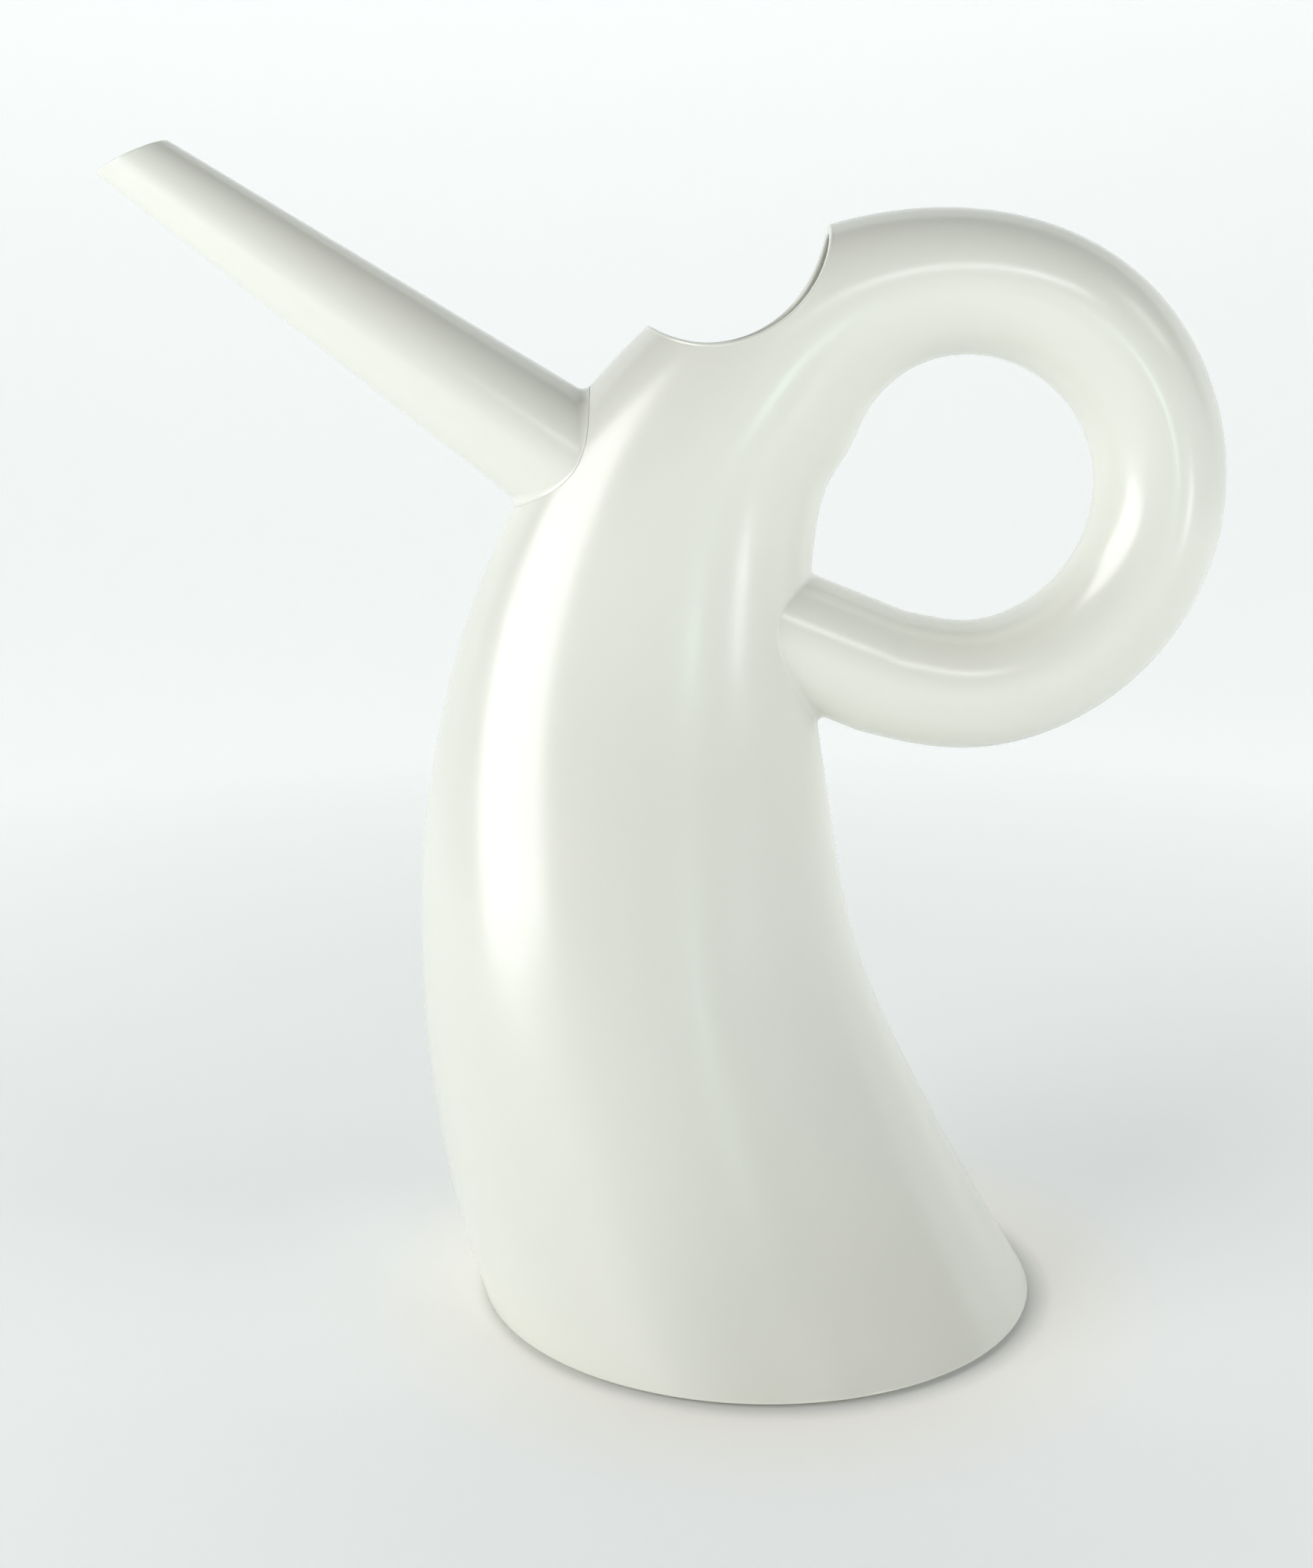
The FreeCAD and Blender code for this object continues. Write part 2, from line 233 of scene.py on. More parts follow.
@dataclass
class HornForm:
    """The body's outer form: level oval sections, then a fan of sections round the loop's centre."""

    foot_radius: float = 0.076
    loop_x: float = 0.04875
    loop_height: float = 0.22125
    loop_radius: float = 0.052
    tube_radius: float = 0.017
    crown_radius: float = 0.0182
    crown_angle: float = 90.0
    taper_end_angle: float = 20.0
    # height over the loop centre's height, then front, back and side over the foot's radius
    level_rows: tuple[tuple[float, ...], ...] = (
        (0.000, 1.025, 0.985, 1.000),
        (0.118, 1.128, 0.779, 0.850),
        (0.271, 1.208, 0.539, 0.710),
        (0.441, 1.240, 0.322, 0.592),
        (0.629, 1.204, 0.211, 0.470),
        (0.814, 1.084, 0.141, 0.372),
    )
    # fan angle, then outer and inner edge over the loop's radius and half depth over the tube's
    neck_rows: tuple[tuple[float, ...], ...] = (
        (180.0, 2.183, 0.666, 1.482),
        (160.0, 1.840, 0.588, 1.370),
        (140.0, 1.608, 0.604, 1.240),
        (118.0, 1.442, 0.633, 1.130),
    )
    loop_angles: tuple[float, ...] = (55.0, 20.0, -15.0, -50.0, -85.0, -112.0)
    knots: Array = field(init=False)
    rows: Array = field(init=False)
    bends: Array = field(init=False)

    def __post_init__(self) -> None:
        """Work out the sections and the smooth lines through them."""
        rows = []
        for height, front, back, side in self.level_rows:
            middle = self.foot_radius * (back - front) / 2.0
            half_width = self.foot_radius * (back + front) / 2.0
            rows.append((middle, height * self.loop_height, 0.0, half_width, side * self.foot_radius))
        for angle, outer, inner, side in self.neck_rows:
            edges = outer * self.loop_radius, inner * self.loop_radius
            rows.append(self.fan_row(angle, *edges, side * self.tube_radius))
        for angle in (self.crown_angle,) + self.loop_angles:
            share = max(0.0, (angle - self.taper_end_angle) / (self.crown_angle - self.taper_end_angle))
            radius = self.tube_radius + share * (self.crown_radius - self.tube_radius)
            rows.append(self.fan_row(angle, self.loop_radius + radius, self.loop_radius - radius, radius))
        self.rows = np.array(rows)
        self.knots = lengths(self.rows[:, :2])
        # a natural cubic spline through the rows, by its second derivatives
        gaps = np.diff(self.knots)[:, None]
        slopes = np.diff(self.rows, axis=0) / gaps
        count = len(rows)
        system = np.eye(count)
        wanted = np.zeros_like(self.rows)
        for i in range(1, count - 1):
            system[i, i - 1 : i + 2] = (gaps[i - 1, 0], 2.0 * (gaps[i - 1, 0] + gaps[i, 0]), gaps[i, 0])
            wanted[i] = 6.0 * (slopes[i] - slopes[i - 1])
        self.bends = np.linalg.solve(system, wanted)

    @property
    def length(self) -> float:
        """The distance along the horn from the floor to the end of the loop."""
        return float(self.knots[-1])

    def fan_row(self, angle: float, outer: float, inner: float, half_depth: float) -> tuple[float, ...]:
        """Describe one section of the fan round the loop's centre.

        Args:
            angle: the section's angle in degrees.
            outer: how far its outer edge stands from the centre.
            inner: how far its inner edge stands from the centre.
            half_depth: half its size across the body.

        Returns:
            Its middle x and z, tilt, half width and half depth.
        """
        turn = math.radians(angle)
        reach = (outer + inner) / 2.0
        x = self.loop_x + reach * math.cos(turn)
        z = self.loop_height + reach * math.sin(turn)
        return x, z, math.pi - turn, (outer - inner) / 2.0, half_depth

    def at(self, along: Array) -> Array:
        """Read the section's five values at distances along the horn.

        Args:
            along: distances from the floor end.

        Returns:
            Middle x, middle z, tilt, half width and half depth on the last axis.
        """
        along = np.asarray(along, dtype=float)
        right = np.clip(np.searchsorted(self.knots, along), 1, len(self.knots) - 1)
        left = right - 1
        span = (self.knots[right] - self.knots[left])[..., None]
        a = (self.knots[right] - along)[..., None] / span
        b = 1.0 - a
        bend = (a**3 - a) * self.bends[left] + (b**3 - b) * self.bends[right]
        return a * self.rows[left] + b * self.rows[right] + bend * span**2 / 6.0

    def points(self, places: Array, grow: float = 0.0) -> Array:
        """Find points on the horn's left half.

        Args:
            places: on the last axis, the distance along the horn and the angle round the section, from 0
                at its outer edge to pi at its inner edge.
            grow: how far the form is made larger all round.

        Returns:
            The points.
        """
        x, z, tilt, wide, deep = np.moveaxis(self.at(places[..., 0]), -1, 0)
        turn = places[..., 1]
        out = np.cos(turn) * (wide + grow)
        return np.stack([x - np.cos(tilt) * out, -np.sin(turn) * (deep + grow), z + np.sin(tilt) * out], -1)

    def normals(self, places: Array, grow: float = 0.0) -> Array:
        """Find outward unit normals on the horn's left half.

        Args:
            places: as for points.
            grow: as for points.

        Returns:
            The normals.
        """
        up = self.points(places + STEP_ALONG, grow) - self.points(places - STEP_ALONG, grow)
        around = self.points(places + STEP_ROUND, grow) - self.points(places - STEP_ROUND, grow)
        return unit(np.cross(around, up))

    def lifted(self, places: Array, lift: float) -> Array:
        """Return points that stand off the horn's left half by a lift, square to it."""
        return self.points(places) + lift * self.normals(places)

    def along_at_height(self, height: float) -> float:
        """Find where the level part of the horn reaches a height over the floor."""
        line = np.linspace(0.0, self.knots[3], LEVEL_SAMPLES)
        return float(np.interp(height, self.at(line)[:, 1], line))

    def along_at_tilt(self, angle: float) -> float:
        """Find where the sections have turned to a fan angle in degrees."""
        line = np.linspace(self.knots[4], self.length, TILT_SAMPLES)
        return float(np.interp(math.pi - math.radians(angle), self.at(line)[:, 2], line))

    def slit(
        self, signed: Callable[[Array], Array], low: float, high: float, edge: Edge
    ) -> tuple[Array, Array]:
        """Trace the rim of a hole that opens from one edge line of the left half.

        Args:
            signed: a function of places that is negative inside the hole.
            low: a distance along the horn that lies before the hole.
            high: a distance along the horn that lies after the hole.
            edge: the edge line that the hole opens from.

        Returns:
            The places of the rim's nearer and farther line, each from the edge line to the rim's tip.
        """
        line = np.linspace(low, high, LINE_SAMPLES)

        def places(along: Array, opening: Array | float) -> Array:
            """Return places at openings measured from the edge line."""
            return places_at(along, opening if edge is Edge.FRONT else math.pi - opening)

        def deepest(opening: float) -> tuple[float, float]:
            """Find the least value at an opening.

            Args:
                opening: the opening, measured from the edge line.

            Returns:
                The least value and where along the horn it lies.
            """
            values = signed(places(line, opening))
            place = int(np.argmin(values))
            return float(values[place]), float(line[place])

        inner, outer = 0.0, WIDEST_OPENING
        for opening in np.linspace(LEAST_OPENING, WIDEST_OPENING, OPENING_PROBES):
            if deepest(float(opening))[0] > 0:
                outer = float(opening)
                break
            inner = float(opening)
        widest = float(halved(inner, outer, lambda opening: deepest(float(opening))[0] < 0))
        openings = widest * np.sin(np.linspace(0.0, math.pi / 2.0, RIM_SAMPLES))
        bottoms = np.array([deepest(float(opening))[1] for opening in openings])
        rims = []
        for outside in (low, high):
            clear = np.full_like(bottoms, outside)
            held = halved(bottoms, clear, lambda along: signed(places(along, openings)) < 0)
            held[-1] = bottoms[-1]
            rims.append(places(held, openings))
        return rims[0], rims[1]


@dataclass
class AxisLine:
    """A straight axis in the plane of symmetry, with distances, depths and angles measured from it."""

    start: Array
    heading: Array

    @property
    def low_side(self) -> Array:
        """The direction square to the axis, in its plane, that points down, or to +X if it is upright."""
        side = np.cross(self.heading, ACROSS)
        return side if side[2] < 0 else -side

    def reach(self, points: Array) -> Array:
        """Return how far along the axis points lie."""
        return (points - self.start) @ self.heading

    def radial(self, points: Array) -> Array:
        """Return the vectors from the axis to points, square to it."""
        return points - self.start - self.reach(points)[..., None] * self.heading

    def distance(self, points: Array) -> Array:
        """Return how far points stand from the axis."""
        return np.linalg.norm(self.radial(points), axis=-1)

    def angle(self, points: Array) -> Array:
        """Return angles round the axis on the left, from 0 at its low side to pi opposite."""
        radial = self.radial(points)
        return np.arctan2(np.abs(radial[..., 1]), radial @ self.low_side)

    def direction(self, angles: Array) -> Array:
        """Return unit directions from the axis at angles round it."""
        return np.cos(angles)[..., None] * self.low_side - np.sin(angles)[..., None] * ACROSS

    def ring(self, angles: Array, radius: Array | float, reach: Array | float) -> Array:
        """Find points round the axis.

        Args:
            angles: their angles round it.
            radius: how far from it they stand.
            reach: how far along it they lie.

        Returns:
            The points.
        """
        radius = np.broadcast_to(radius, angles.shape)[..., None]
        reach = np.broadcast_to(reach, angles.shape)[..., None]
        return self.start + reach * self.heading + radius * self.direction(angles)


# the upright axis through the middle of the foot
FOOT_AXIS = AxisLine(np.zeros(3), UP)


def fillet_patch(
    centres: Array, starts: Array, ends: Array, radius: float, steps: int
) -> tuple[Array, Array]:
    """Make the hollow round that a ball leaves as it rolls along a corner.

    Args:
        centres: the ball's centres.
        starts: unit directions from each centre to the first face.
        ends: unit directions from each centre to the second face.
        radius: the ball's radius.
        steps: how many faces lie across the round.

    Returns:
        The patch's points and its outward normals.
    """
    between = np.arccos(np.clip(np.sum(starts * ends, axis=-1), -1.0, 1.0))[None, :, None]
    share = np.linspace(0.0, 1.0, steps + 1)[:, None, None]
    way = (np.sin((1.0 - share) * between) * starts + np.sin(share * between) * ends) / np.sin(between)
    return centres + radius * way, -unit(way)


def add_turned(
    skin: SkinBuilder, axis: AxisLine, angles: Array, profile: list[tuple[float, float]], side: float
) -> list[Array]:
    """Add the faces that a stepped outline leaves when it is turned about an axis.

    Args:
        skin: the builder to add to.
        axis: the axis.
        angles: the angles round it that the rows follow.
        profile: the outline as radius and depth below the axis's start.
        side: 1 where the outline's material lies to its right, -1 where it lies to its left.

    Returns:
        The rings of points that the outline's corners leave.
    """
    way = axis.direction(angles)
    rings = [axis.ring(angles, radius, -depth) for radius, depth in profile]
    for k in range(len(profile) - 1):
        rise = profile[k + 1][0] - profile[k][0]
        deeper = profile[k + 1][1] - profile[k][1]
        normal = side * (np.sign(deeper) * way + np.sign(rise) * axis.heading)
        skin.add_with_twin(np.stack([rings[k], rings[k + 1]]), normal)
    return rings


def rounded_rim(outer: Array, inner: Array, way_out: Array, rise: float, steps: int) -> Array:
    """Round a wall's edge over from its outer to its inner face.

    Args:
        outer: points along the outer face's edge.
        inner: points along the inner face's edge.
        way_out: unit directions in which the rim stands out.
        rise: how far it stands out.
        steps: how many faces lie across the rim.

    Returns:
        The rim's grid of points.
    """
    turn = np.linspace(0.0, math.pi, steps + 1)
    over = (np.sign(np.cos(turn)) * np.abs(np.cos(turn)) ** RIM_FLATNESS)[:, None, None]
    out = (np.abs(np.sin(turn)) ** RIM_FLATNESS)[:, None, None]
    out[0] = out[-1] = 0.0
    middle = (outer + inner) / 2.0
    half = (outer - inner) / 2.0
    return middle + over * half + out * rise * way_out


@dataclass(frozen=True)
class Noise:
    """A procedural noise over a piece: how fine it is, how many layers it has and how rough they are."""

    scale: float
    detail: float
    roughness: float


@dataclass(frozen=True)
class GlossyWhite:
    """Polished white plastic: a clear gloss, faint flow marks and the finest moulded ripple."""

    name: str = "glossy_white"
    colour: Colour = (0.80, 0.815, 0.75)
    warm_colour: Colour = (0.815, 0.81, 0.73)
    flow: Noise = Noise(14.0, 3.0, 0.5)
    wear: Noise = Noise(55.0, 6.0, 0.62)
    wear_range: Span = (0.35, 0.75)
    roughness: Span = (0.19, 0.27)
    ripple: Noise = Noise(900.0, 2.0, 0.5)
    ripple_strength: float = 0.02
    ripple_depth: float = 0.0004
    coat: float = 0.3
    shine: float = 0.9
    seam: bool = True

    def make(self) -> bpy.types.Material:
        """Build the material's nodes.

        Returns:
            The material.
        """
        kit = MaterialKit(self.name)
        kit.tint(kit.noise(self.flow), self.colour, self.warm_colour)
        kit.roughen(kit.noise(self.wear), self.wear_range, self.roughness)
        bump = kit.bump(kit.noise(self.ripple), self.ripple_strength, self.ripple_depth)
        if self.seam:
            bump = kit.seam_line(bump)
        kit.link(bump, "Normal", kit.shader, "Normal")
        kit.set(kit.shader, IOR=PLASTIC_IOR, **{"Specular IOR Level": self.shine})
        kit.set(kit.shader, **{"Coat Weight": self.coat, "Coat Roughness": self.roughness[0]})
        return kit.owner


@dataclass(frozen=True)
class SatinWhite:
    """Fine-grained white plastic, as spark-eroded mould faces leave it."""

    name: str = "satin_white"
    colour: Colour = (0.74, 0.75, 0.71)
    dull_colour: Colour = (0.70, 0.71, 0.67)
    patches: Noise = Noise(30.0, 4.0, 0.6)
    patch_range: Span = (0.3, 0.7)
    roughness: Span = (0.42, 0.58)
    grain: Noise = Noise(1800.0, 2.0, 0.6)
    grain_strength: float = 0.18
    grain_depth: float = 0.0003

    def make(self) -> bpy.types.Material:
        """Build the material's nodes.

        Returns:
            The material.
        """
        kit = MaterialKit(self.name)
        patches = kit.noise(self.patches)
        kit.tint(patches, self.colour, self.dull_colour)
        kit.roughen(patches, self.patch_range, self.roughness)
        bump = kit.bump(kit.noise(self.grain), self.grain_strength, self.grain_depth)
        kit.link(bump, "Normal", kit.shader, "Normal")
        kit.set(kit.shader, IOR=PLASTIC_IOR)
        return kit.owner


@dataclass(frozen=True)
class BlackRubber:
    """Smooth black sealing rubber with a faint bloom."""

    name: str = "black_rubber"
    colour: Colour = (0.018, 0.018, 0.019)
    bloom_colour: Colour = (0.05, 0.05, 0.052)
    bloom: Noise = Noise(260.0, 5.0, 0.65)
    bloom_range: Span = (0.3, 0.7)
    roughness: Span = (0.45, 0.65)
    bloom_strength: float = 0.12
    bloom_depth: float = 0.0003

    def make(self) -> bpy.types.Material:
        """Build the material's nodes.

        Returns:
            The material.
        """
        kit = MaterialKit(self.name)
        bloom = kit.noise(self.bloom)
        kit.tint(bloom, self.colour, self.bloom_colour)
        kit.roughen(bloom, self.bloom_range, self.roughness)
        bump = kit.bump(bloom, self.bloom_strength, self.bloom_depth)
        kit.link(bump, "Normal", kit.shader, "Normal")
        return kit.owner


class NodeKit:
    """A short way to build the nodes of a material or of the world."""

    def __init__(self, owner: bpy.types.Material | bpy.types.World) -> None:
        """Start with the coordinates only.

        Args:
            owner: the material or world that the nodes belong to.
        """
        owner.use_nodes = True
        self.owner = owner
        self.tree = owner.node_tree
        self.tree.nodes.clear()
        self.place = self.new("ShaderNodeTexCoord")

    def new(self, kind: str, **values: float) -> bpy.types.Node:
        """Add a node.

        Args:
            kind: the node's type.
            values: its inputs by name.

        Returns:
            The node.
        """
        node = self.tree.nodes.new(kind)
        self.set(node, **values)
        return node

    def set(self, node: bpy.types.Node, **values: float) -> None:
        """Set a node's inputs by name."""
        for name, value in values.items():
            node.inputs[name].default_value = value

    def link(self, source: bpy.types.Node, output: str, target: bpy.types.Node, name: str) -> None:
        """Join an output to an input, among the sockets in use.

        Args:
            source: the node that gives.
            output: the name of its output.
            target: the node that takes.
            name: the name of its input.
        """
        start = next(s for s in source.outputs if s.name == output and s.enabled)
        end = next(s for s in target.inputs if s.name == name and s.enabled)
        self.tree.links.new(start, end)

    def mix_colour(self, first: Colour, second: Colour) -> bpy.types.Node:
        """Add a mix of two colours.

        Args:
            first: the colour at factor 0.
            second: the colour at factor 1.

        Returns:
            The mix node.
        """
        node = self.tree.nodes.new("ShaderNodeMix")
        node.data_type = "RGBA"
        colours = [s for s in node.inputs if s.enabled and s.type == "RGBA"]
        colours[0].default_value = (*first, 1.0)
        colours[1].default_value = (*second, 1.0)
        return node

    def map_range(self, source: bpy.types.Node, output: str, given: Span, wanted: Span) -> bpy.types.Node:
        """Add a map from one range of values to another.

        Args:
            source: the node that gives the value.
            output: the name of its output.
            given: the range that the value has.
            wanted: the range that it is mapped to.

        Returns:
            The map node.
        """
        node = self.tree.nodes.new("ShaderNodeMapRange")
        self.set(node, **{"From Min": given[0], "From Max": given[1]})
        self.set(node, **{"To Min": wanted[0], "To Max": wanted[1]})
        self.link(source, output, node, "Value")
        return node


class MaterialKit(NodeKit):
    """The nodes of a material, round one main shader."""

    def __init__(self, name: str) -> None:
        """Start a material.

        Args:
            name: the material's name.
        """
        super().__init__(bpy.data.materials.new(name))
        self.shader = self.new("ShaderNodeBsdfPrincipled")
        self.link(self.shader, "BSDF", self.new("ShaderNodeOutputMaterial"), "Surface")

    def noise(self, kind: Noise) -> bpy.types.Node:
        """Add a noise over the piece's own coordinates.

        Args:
            kind: how fine and how rough it is.

        Returns:
            The noise node.
        """
        node = self.new(
            "ShaderNodeTexNoise", Scale=kind.scale, Detail=kind.detail, Roughness=kind.roughness
        )
        self.link(self.place, "Object", node, "Vector")
        return node

    def tint(self, noise: bpy.types.Node, first: Colour, second: Colour) -> None:
        """Let a noise vary the base colour.

        Args:
            noise: the noise node.
            first: the colour where the noise is 0.
            second: the colour where it is 1.
        """
        mix = self.mix_colour(first, second)
        self.link(noise, "Fac", mix, "Factor")
        self.link(mix, "Result", self.shader, "Base Color")

    def roughen(self, noise: bpy.types.Node, given: Span, roughness: Span) -> None:
        """Let a noise vary the roughness over a range."""
        self.link(self.map_range(noise, "Fac", given, roughness), "Result", self.shader, "Roughness")

    def bump(self, noise: bpy.types.Node, strength: float, depth: float) -> bpy.types.Node:
        """Add the relief of a noise.

        Args:
            noise: the noise node.
            strength: how strongly it shows.
            depth: how deep it is.

        Returns:
            The bump node.
        """
        node = self.new("ShaderNodeBump", Strength=strength, Distance=depth)
        self.link(noise, "Fac", node, "Height")
        return node

    def seam_line(self, before: bpy.types.Node) -> bpy.types.Node:
        """Add the faint weld line in the plane of symmetry to a bump.

        Args:
            before: the bump node that the line is added to.

        Returns:
            The bump node that holds both.
        """
        split = self.new("ShaderNodeSeparateXYZ")
        self.link(self.place, "Object", split, "Vector")
        size = self.new("ShaderNodeMath")
        size.operation = "ABSOLUTE"
        self.link(split, "Y", size, "Value")
        line = self.map_range(size, "Value", SEAM_EDGES, (0.0, 1.0))
        bump = self.new("ShaderNodeBump", Strength=SEAM_STRENGTH, Distance=SEAM_DEPTH)
        self.link(line, "Result", bump, "Height")
        self.link(before, "Normal", bump, "Normal")
        return bump


@dataclass(frozen=True)
class Bar:
    """A ring's cross section: its radii, its depths below the seat and the round of its corners."""

    inner: float
    outer: float
    top: float
    bottom: float
    corner: float


@dataclass
class SpoutJoint:
    """Where the spout stands on the body's front, and the sizes of the socket that holds it."""

    seat_angle: float = 174.8
    rise_angle: float = 34.4
    hole_radius: float = 0.0133
    boss_radius: float = 0.02108
    boss_end: float = 0.028
    sleeve_room: float = 0.01613
    flange_room: float = 0.01863
    flange_room_top: float = 0.01995
    flange_room_end: float = 0.02305
    sleeve_top: float = 0.011
    sleeve_bore: float = 0.01308
    sleeve_corner: float = 0.0004
    flange_inner: float = 0.0160
    flange_corner: float = 0.0003
    fit: float = 0.00005
    search: float = 0.04

    def axis(self, horn: HornForm) -> AxisLine:
        """Find the spout's axis.

        Args:
            horn: the body's form.

        Returns:
            The axis, which starts at the seat and heads outward.
        """
        rise = math.radians(self.rise_angle)
        seat = horn.points(np.array([horn.along_at_tilt(self.seat_angle), 0.0]))
        return AxisLine(seat, np.array([-math.cos(rise), 0.0, math.sin(rise)]))

    def rims(self, horn: HornForm, signed: Callable[[Array], Array]) -> tuple[Array, Array]:
        """Trace a rim round the seat, given a function of places that is negative inside it."""
        middle = horn.along_at_tilt(self.seat_angle)
        return horn.slit(signed, middle - self.search, middle + self.search, Edge.FRONT)

    def socket_bars(self) -> tuple[Bar, ...]:
        """Describe the socket.

        Returns:
            Its sleeve and flange, which fill their room in the boss but for the fit.
        """
        sleeve_outer = self.sleeve_room - self.fit
        flange_outer = self.flange_room - self.fit
        flange_top = self.flange_room_top + self.fit
        flange_end = self.flange_room_end - self.fit
        return (
            Bar(self.sleeve_bore, sleeve_outer, self.sleeve_top, self.boss_end, self.sleeve_corner),
            Bar(self.flange_inner, flange_outer, flange_top, flange_end, self.flange_corner),
        )

    def boss_profile(self) -> list[tuple[float, float]]:
        """Describe the boss.

        Returns:
            Its turned outline as radius and depth, from its outer wall to the spigot's hole.
        """
        return [
            (self.boss_radius, self.boss_end),
            (self.sleeve_room, self.boss_end),
            (self.sleeve_room, self.flange_room_end),
            (self.flange_room, self.flange_room_end),
            (self.flange_room, self.flange_room_top),
            (self.sleeve_room, self.flange_room_top),
            (self.sleeve_room, self.sleeve_top),
            (self.hole_radius, self.sleeve_top),
        ]


def settle(
    obj: bpy.types.Object, material: bpy.types.Material, body: Body, slot: str, *nodes: str
) -> None:
    """Give a piece its finish and its place in the part.

    Args:
        obj: the piece.
        material: its finish.
        body: the moving body that carries it.
        slot: the name of its finish's slot; not used.
        nodes: the nodes that it stands for.
    """
    obj.data.materials.append(material)
    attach(obj, body.value)
    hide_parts(*nodes)


@dataclass
class BodySkin:
    """The hollow body: its outer and inner skin, rounded mouth, foot rim, loop joint and spout boss."""

    horn: HornForm
    joint: SpoutJoint
    wall: float = 0.0025
    rows: int = 64
    half_rows: int = 32
    spout_rows: int = 12
    mouth_rows: int = 28
    spout_knee: float = 0.6
    mouth_knee: float = 0.12
    # where the mouth is looked for, by fan angle, and the loop's joint, by row of the horn's form
    mouth_search: Span = (176.0, 84.0)
    loop_search: tuple[int, int] = (3, 6)
    mouth_x: float = -0.016666
    mouth_height: float = 0.288122
    mouth_radius: float = 0.030
    mouth_round: float = 0.0009
    loop_fillet: float = 0.0016
    rim_gap: float = 0.0012
    rim_round: float = 0.0008
    seat_height: float = 0.0062
    ledge_top: float = 0.0082
    base_bore: float = 0.0685
    ledge_bore: float = 0.0655
    # how many faces lie along the horn, up to the loop's joint, the spout, the mouth and the loop's end
    block_steps: tuple[int, ...] = (52, 26, 16, 120)
    fillet_steps: int = 10
    tube_steps: int = 8
    mouth_steps: int = 12
    foot_steps: int = 8
    cap_steps: int = 6
    skin: SkinBuilder = field(default_factory=SkinBuilder, init=False)

    def level_line(self, along: float) -> Array:
        """Return a line of places round the section at one distance along the horn."""
        return places_at(along, np.linspace(0.0, math.pi, self.rows + 1))

    @staticmethod
    def whole_rim(pair: list[Array], count: int) -> Array:
        """Return a front hole's whole rim, along its nearer line and back along its farther one."""
        return np.concatenate([pair[0][: count + 1], pair[1][count - 1 :: -1]])

    def front_lines(
        self, rims: tuple[Array, Array], keys: list[Array], count: int, knee: float
    ) -> list[Array]:
        """Lay the grid's rows along both sides of a hole in the front edge.

        Args:
            rims: the hole's nearer and farther rim, from the edge line to the tip.
            keys: a measure along each rim, by which its rows are spaced.
            count: how many faces lie along each rim.
            knee: how much of the way past the tip the grid's half row lies.

        Returns:
            The grid's lines just before and just after the hole.
        """
        along, turn = rims[0][-1]
        middle = turn + knee * (math.pi - turn)
        before = np.linspace(turn, middle, self.half_rows - count + 1)[1:]
        after = np.linspace(middle, math.pi, self.rows - self.half_rows + 1)[1:]
        tail = places_at(along, np.concatenate([before, after]))
        return [np.concatenate([evenly(rim, key, count), tail]) for rim, key in zip(rims, keys)]

    def back_lines(self, rims: tuple[Array, Array], keys: list[Array]) -> list[Array]:
        """Lay the grid's rows along both sides of the hole in the back edge where the loop comes in.

        Args:
            rims: the hole's nearer and farther rim, from the edge line to the tip.
            keys: a measure along each rim, by which its rows are spaced.

        Returns:
            The grid's lines just before and just after the hole.
        """
        along, turn = rims[0][-1]
        head = places_at(along, np.linspace(0.0, turn, self.half_rows + 1)[:-1])
        count = self.rows - self.half_rows
        return [np.concatenate([head, evenly(rim, key, count)[::-1]]) for rim, key in zip(rims, keys)]

    def mouth_distance(self, points: Array) -> Array:
        """Return how far points lie outside the round bite of the mouth."""
        reach = np.hypot(points[..., 0] - self.mouth_x, points[..., 2] - self.mouth_height)
        return reach - self.mouth_radius - self.mouth_round

    def mouth_lines(self, grow: float) -> list[Array]:
        """Find the grid's lines on both sides of the mouth.

        Args:
            grow: how far the skin is grown from the outer one.

        Returns:
            The lines just before and just after the mouth.
        """
        horn = self.horn
        low, high = (horn.along_at_tilt(angle) for angle in self.mouth_search)
        rims = horn.slit(
            lambda places: self.mouth_distance(horn.points(places, grow)), low, high, Edge.FRONT
        )
        keys = [lengths(horn.points(rim, grow)) for rim in rims]
        return self.front_lines(rims, keys, self.mouth_rows, self.mouth_knee)

    def spout_lines(self, radius: float, grow: float) -> list[Array]:
        """Find the grid's lines on both sides of the spout's hole.

        Args:
            radius: the hole's radius.
            grow: how far the skin is grown from the outer one.

        Returns:
            The lines just before and just after the hole.
        """
        horn = self.horn
        axis = self.joint.axis(horn)
        rims = self.joint.rims(horn, lambda places: axis.distance(horn.points(places, grow)) - radius)
        keys = [axis.angle(horn.points(rim, grow)) for rim in rims]
        return self.front_lines(rims, keys, self.spout_rows, self.spout_knee)

    def loop_axis(self) -> AxisLine:
        """Return the axis on which the loop's end runs into the body's back."""
        x, z, tilt, _, _ = self.horn.at(np.array(self.horn.length))
        return AxisLine(np.array([x, 0.0, z]), np.array([math.sin(tilt), 0.0, math.cos(tilt)]))

    def add_skin(self, lines: list[Array], steps: tuple[int, ...], grow: float) -> None:
        """Add one whole skin between its lines.

        Args:
            lines: pairs of lines, each block's first and last.
            steps: how many faces lie along each block.
            grow: zero for the outer skin, less the wall for the inner one.
        """
        for start, end, count in zip(lines[0::2], lines[1::2], steps):
            places = blend(start, end, count)
            normals = self.horn.normals(places, grow)
            self.skin.add_with_twin(self.horn.points(places, grow), normals if grow == 0.0 else -normals)

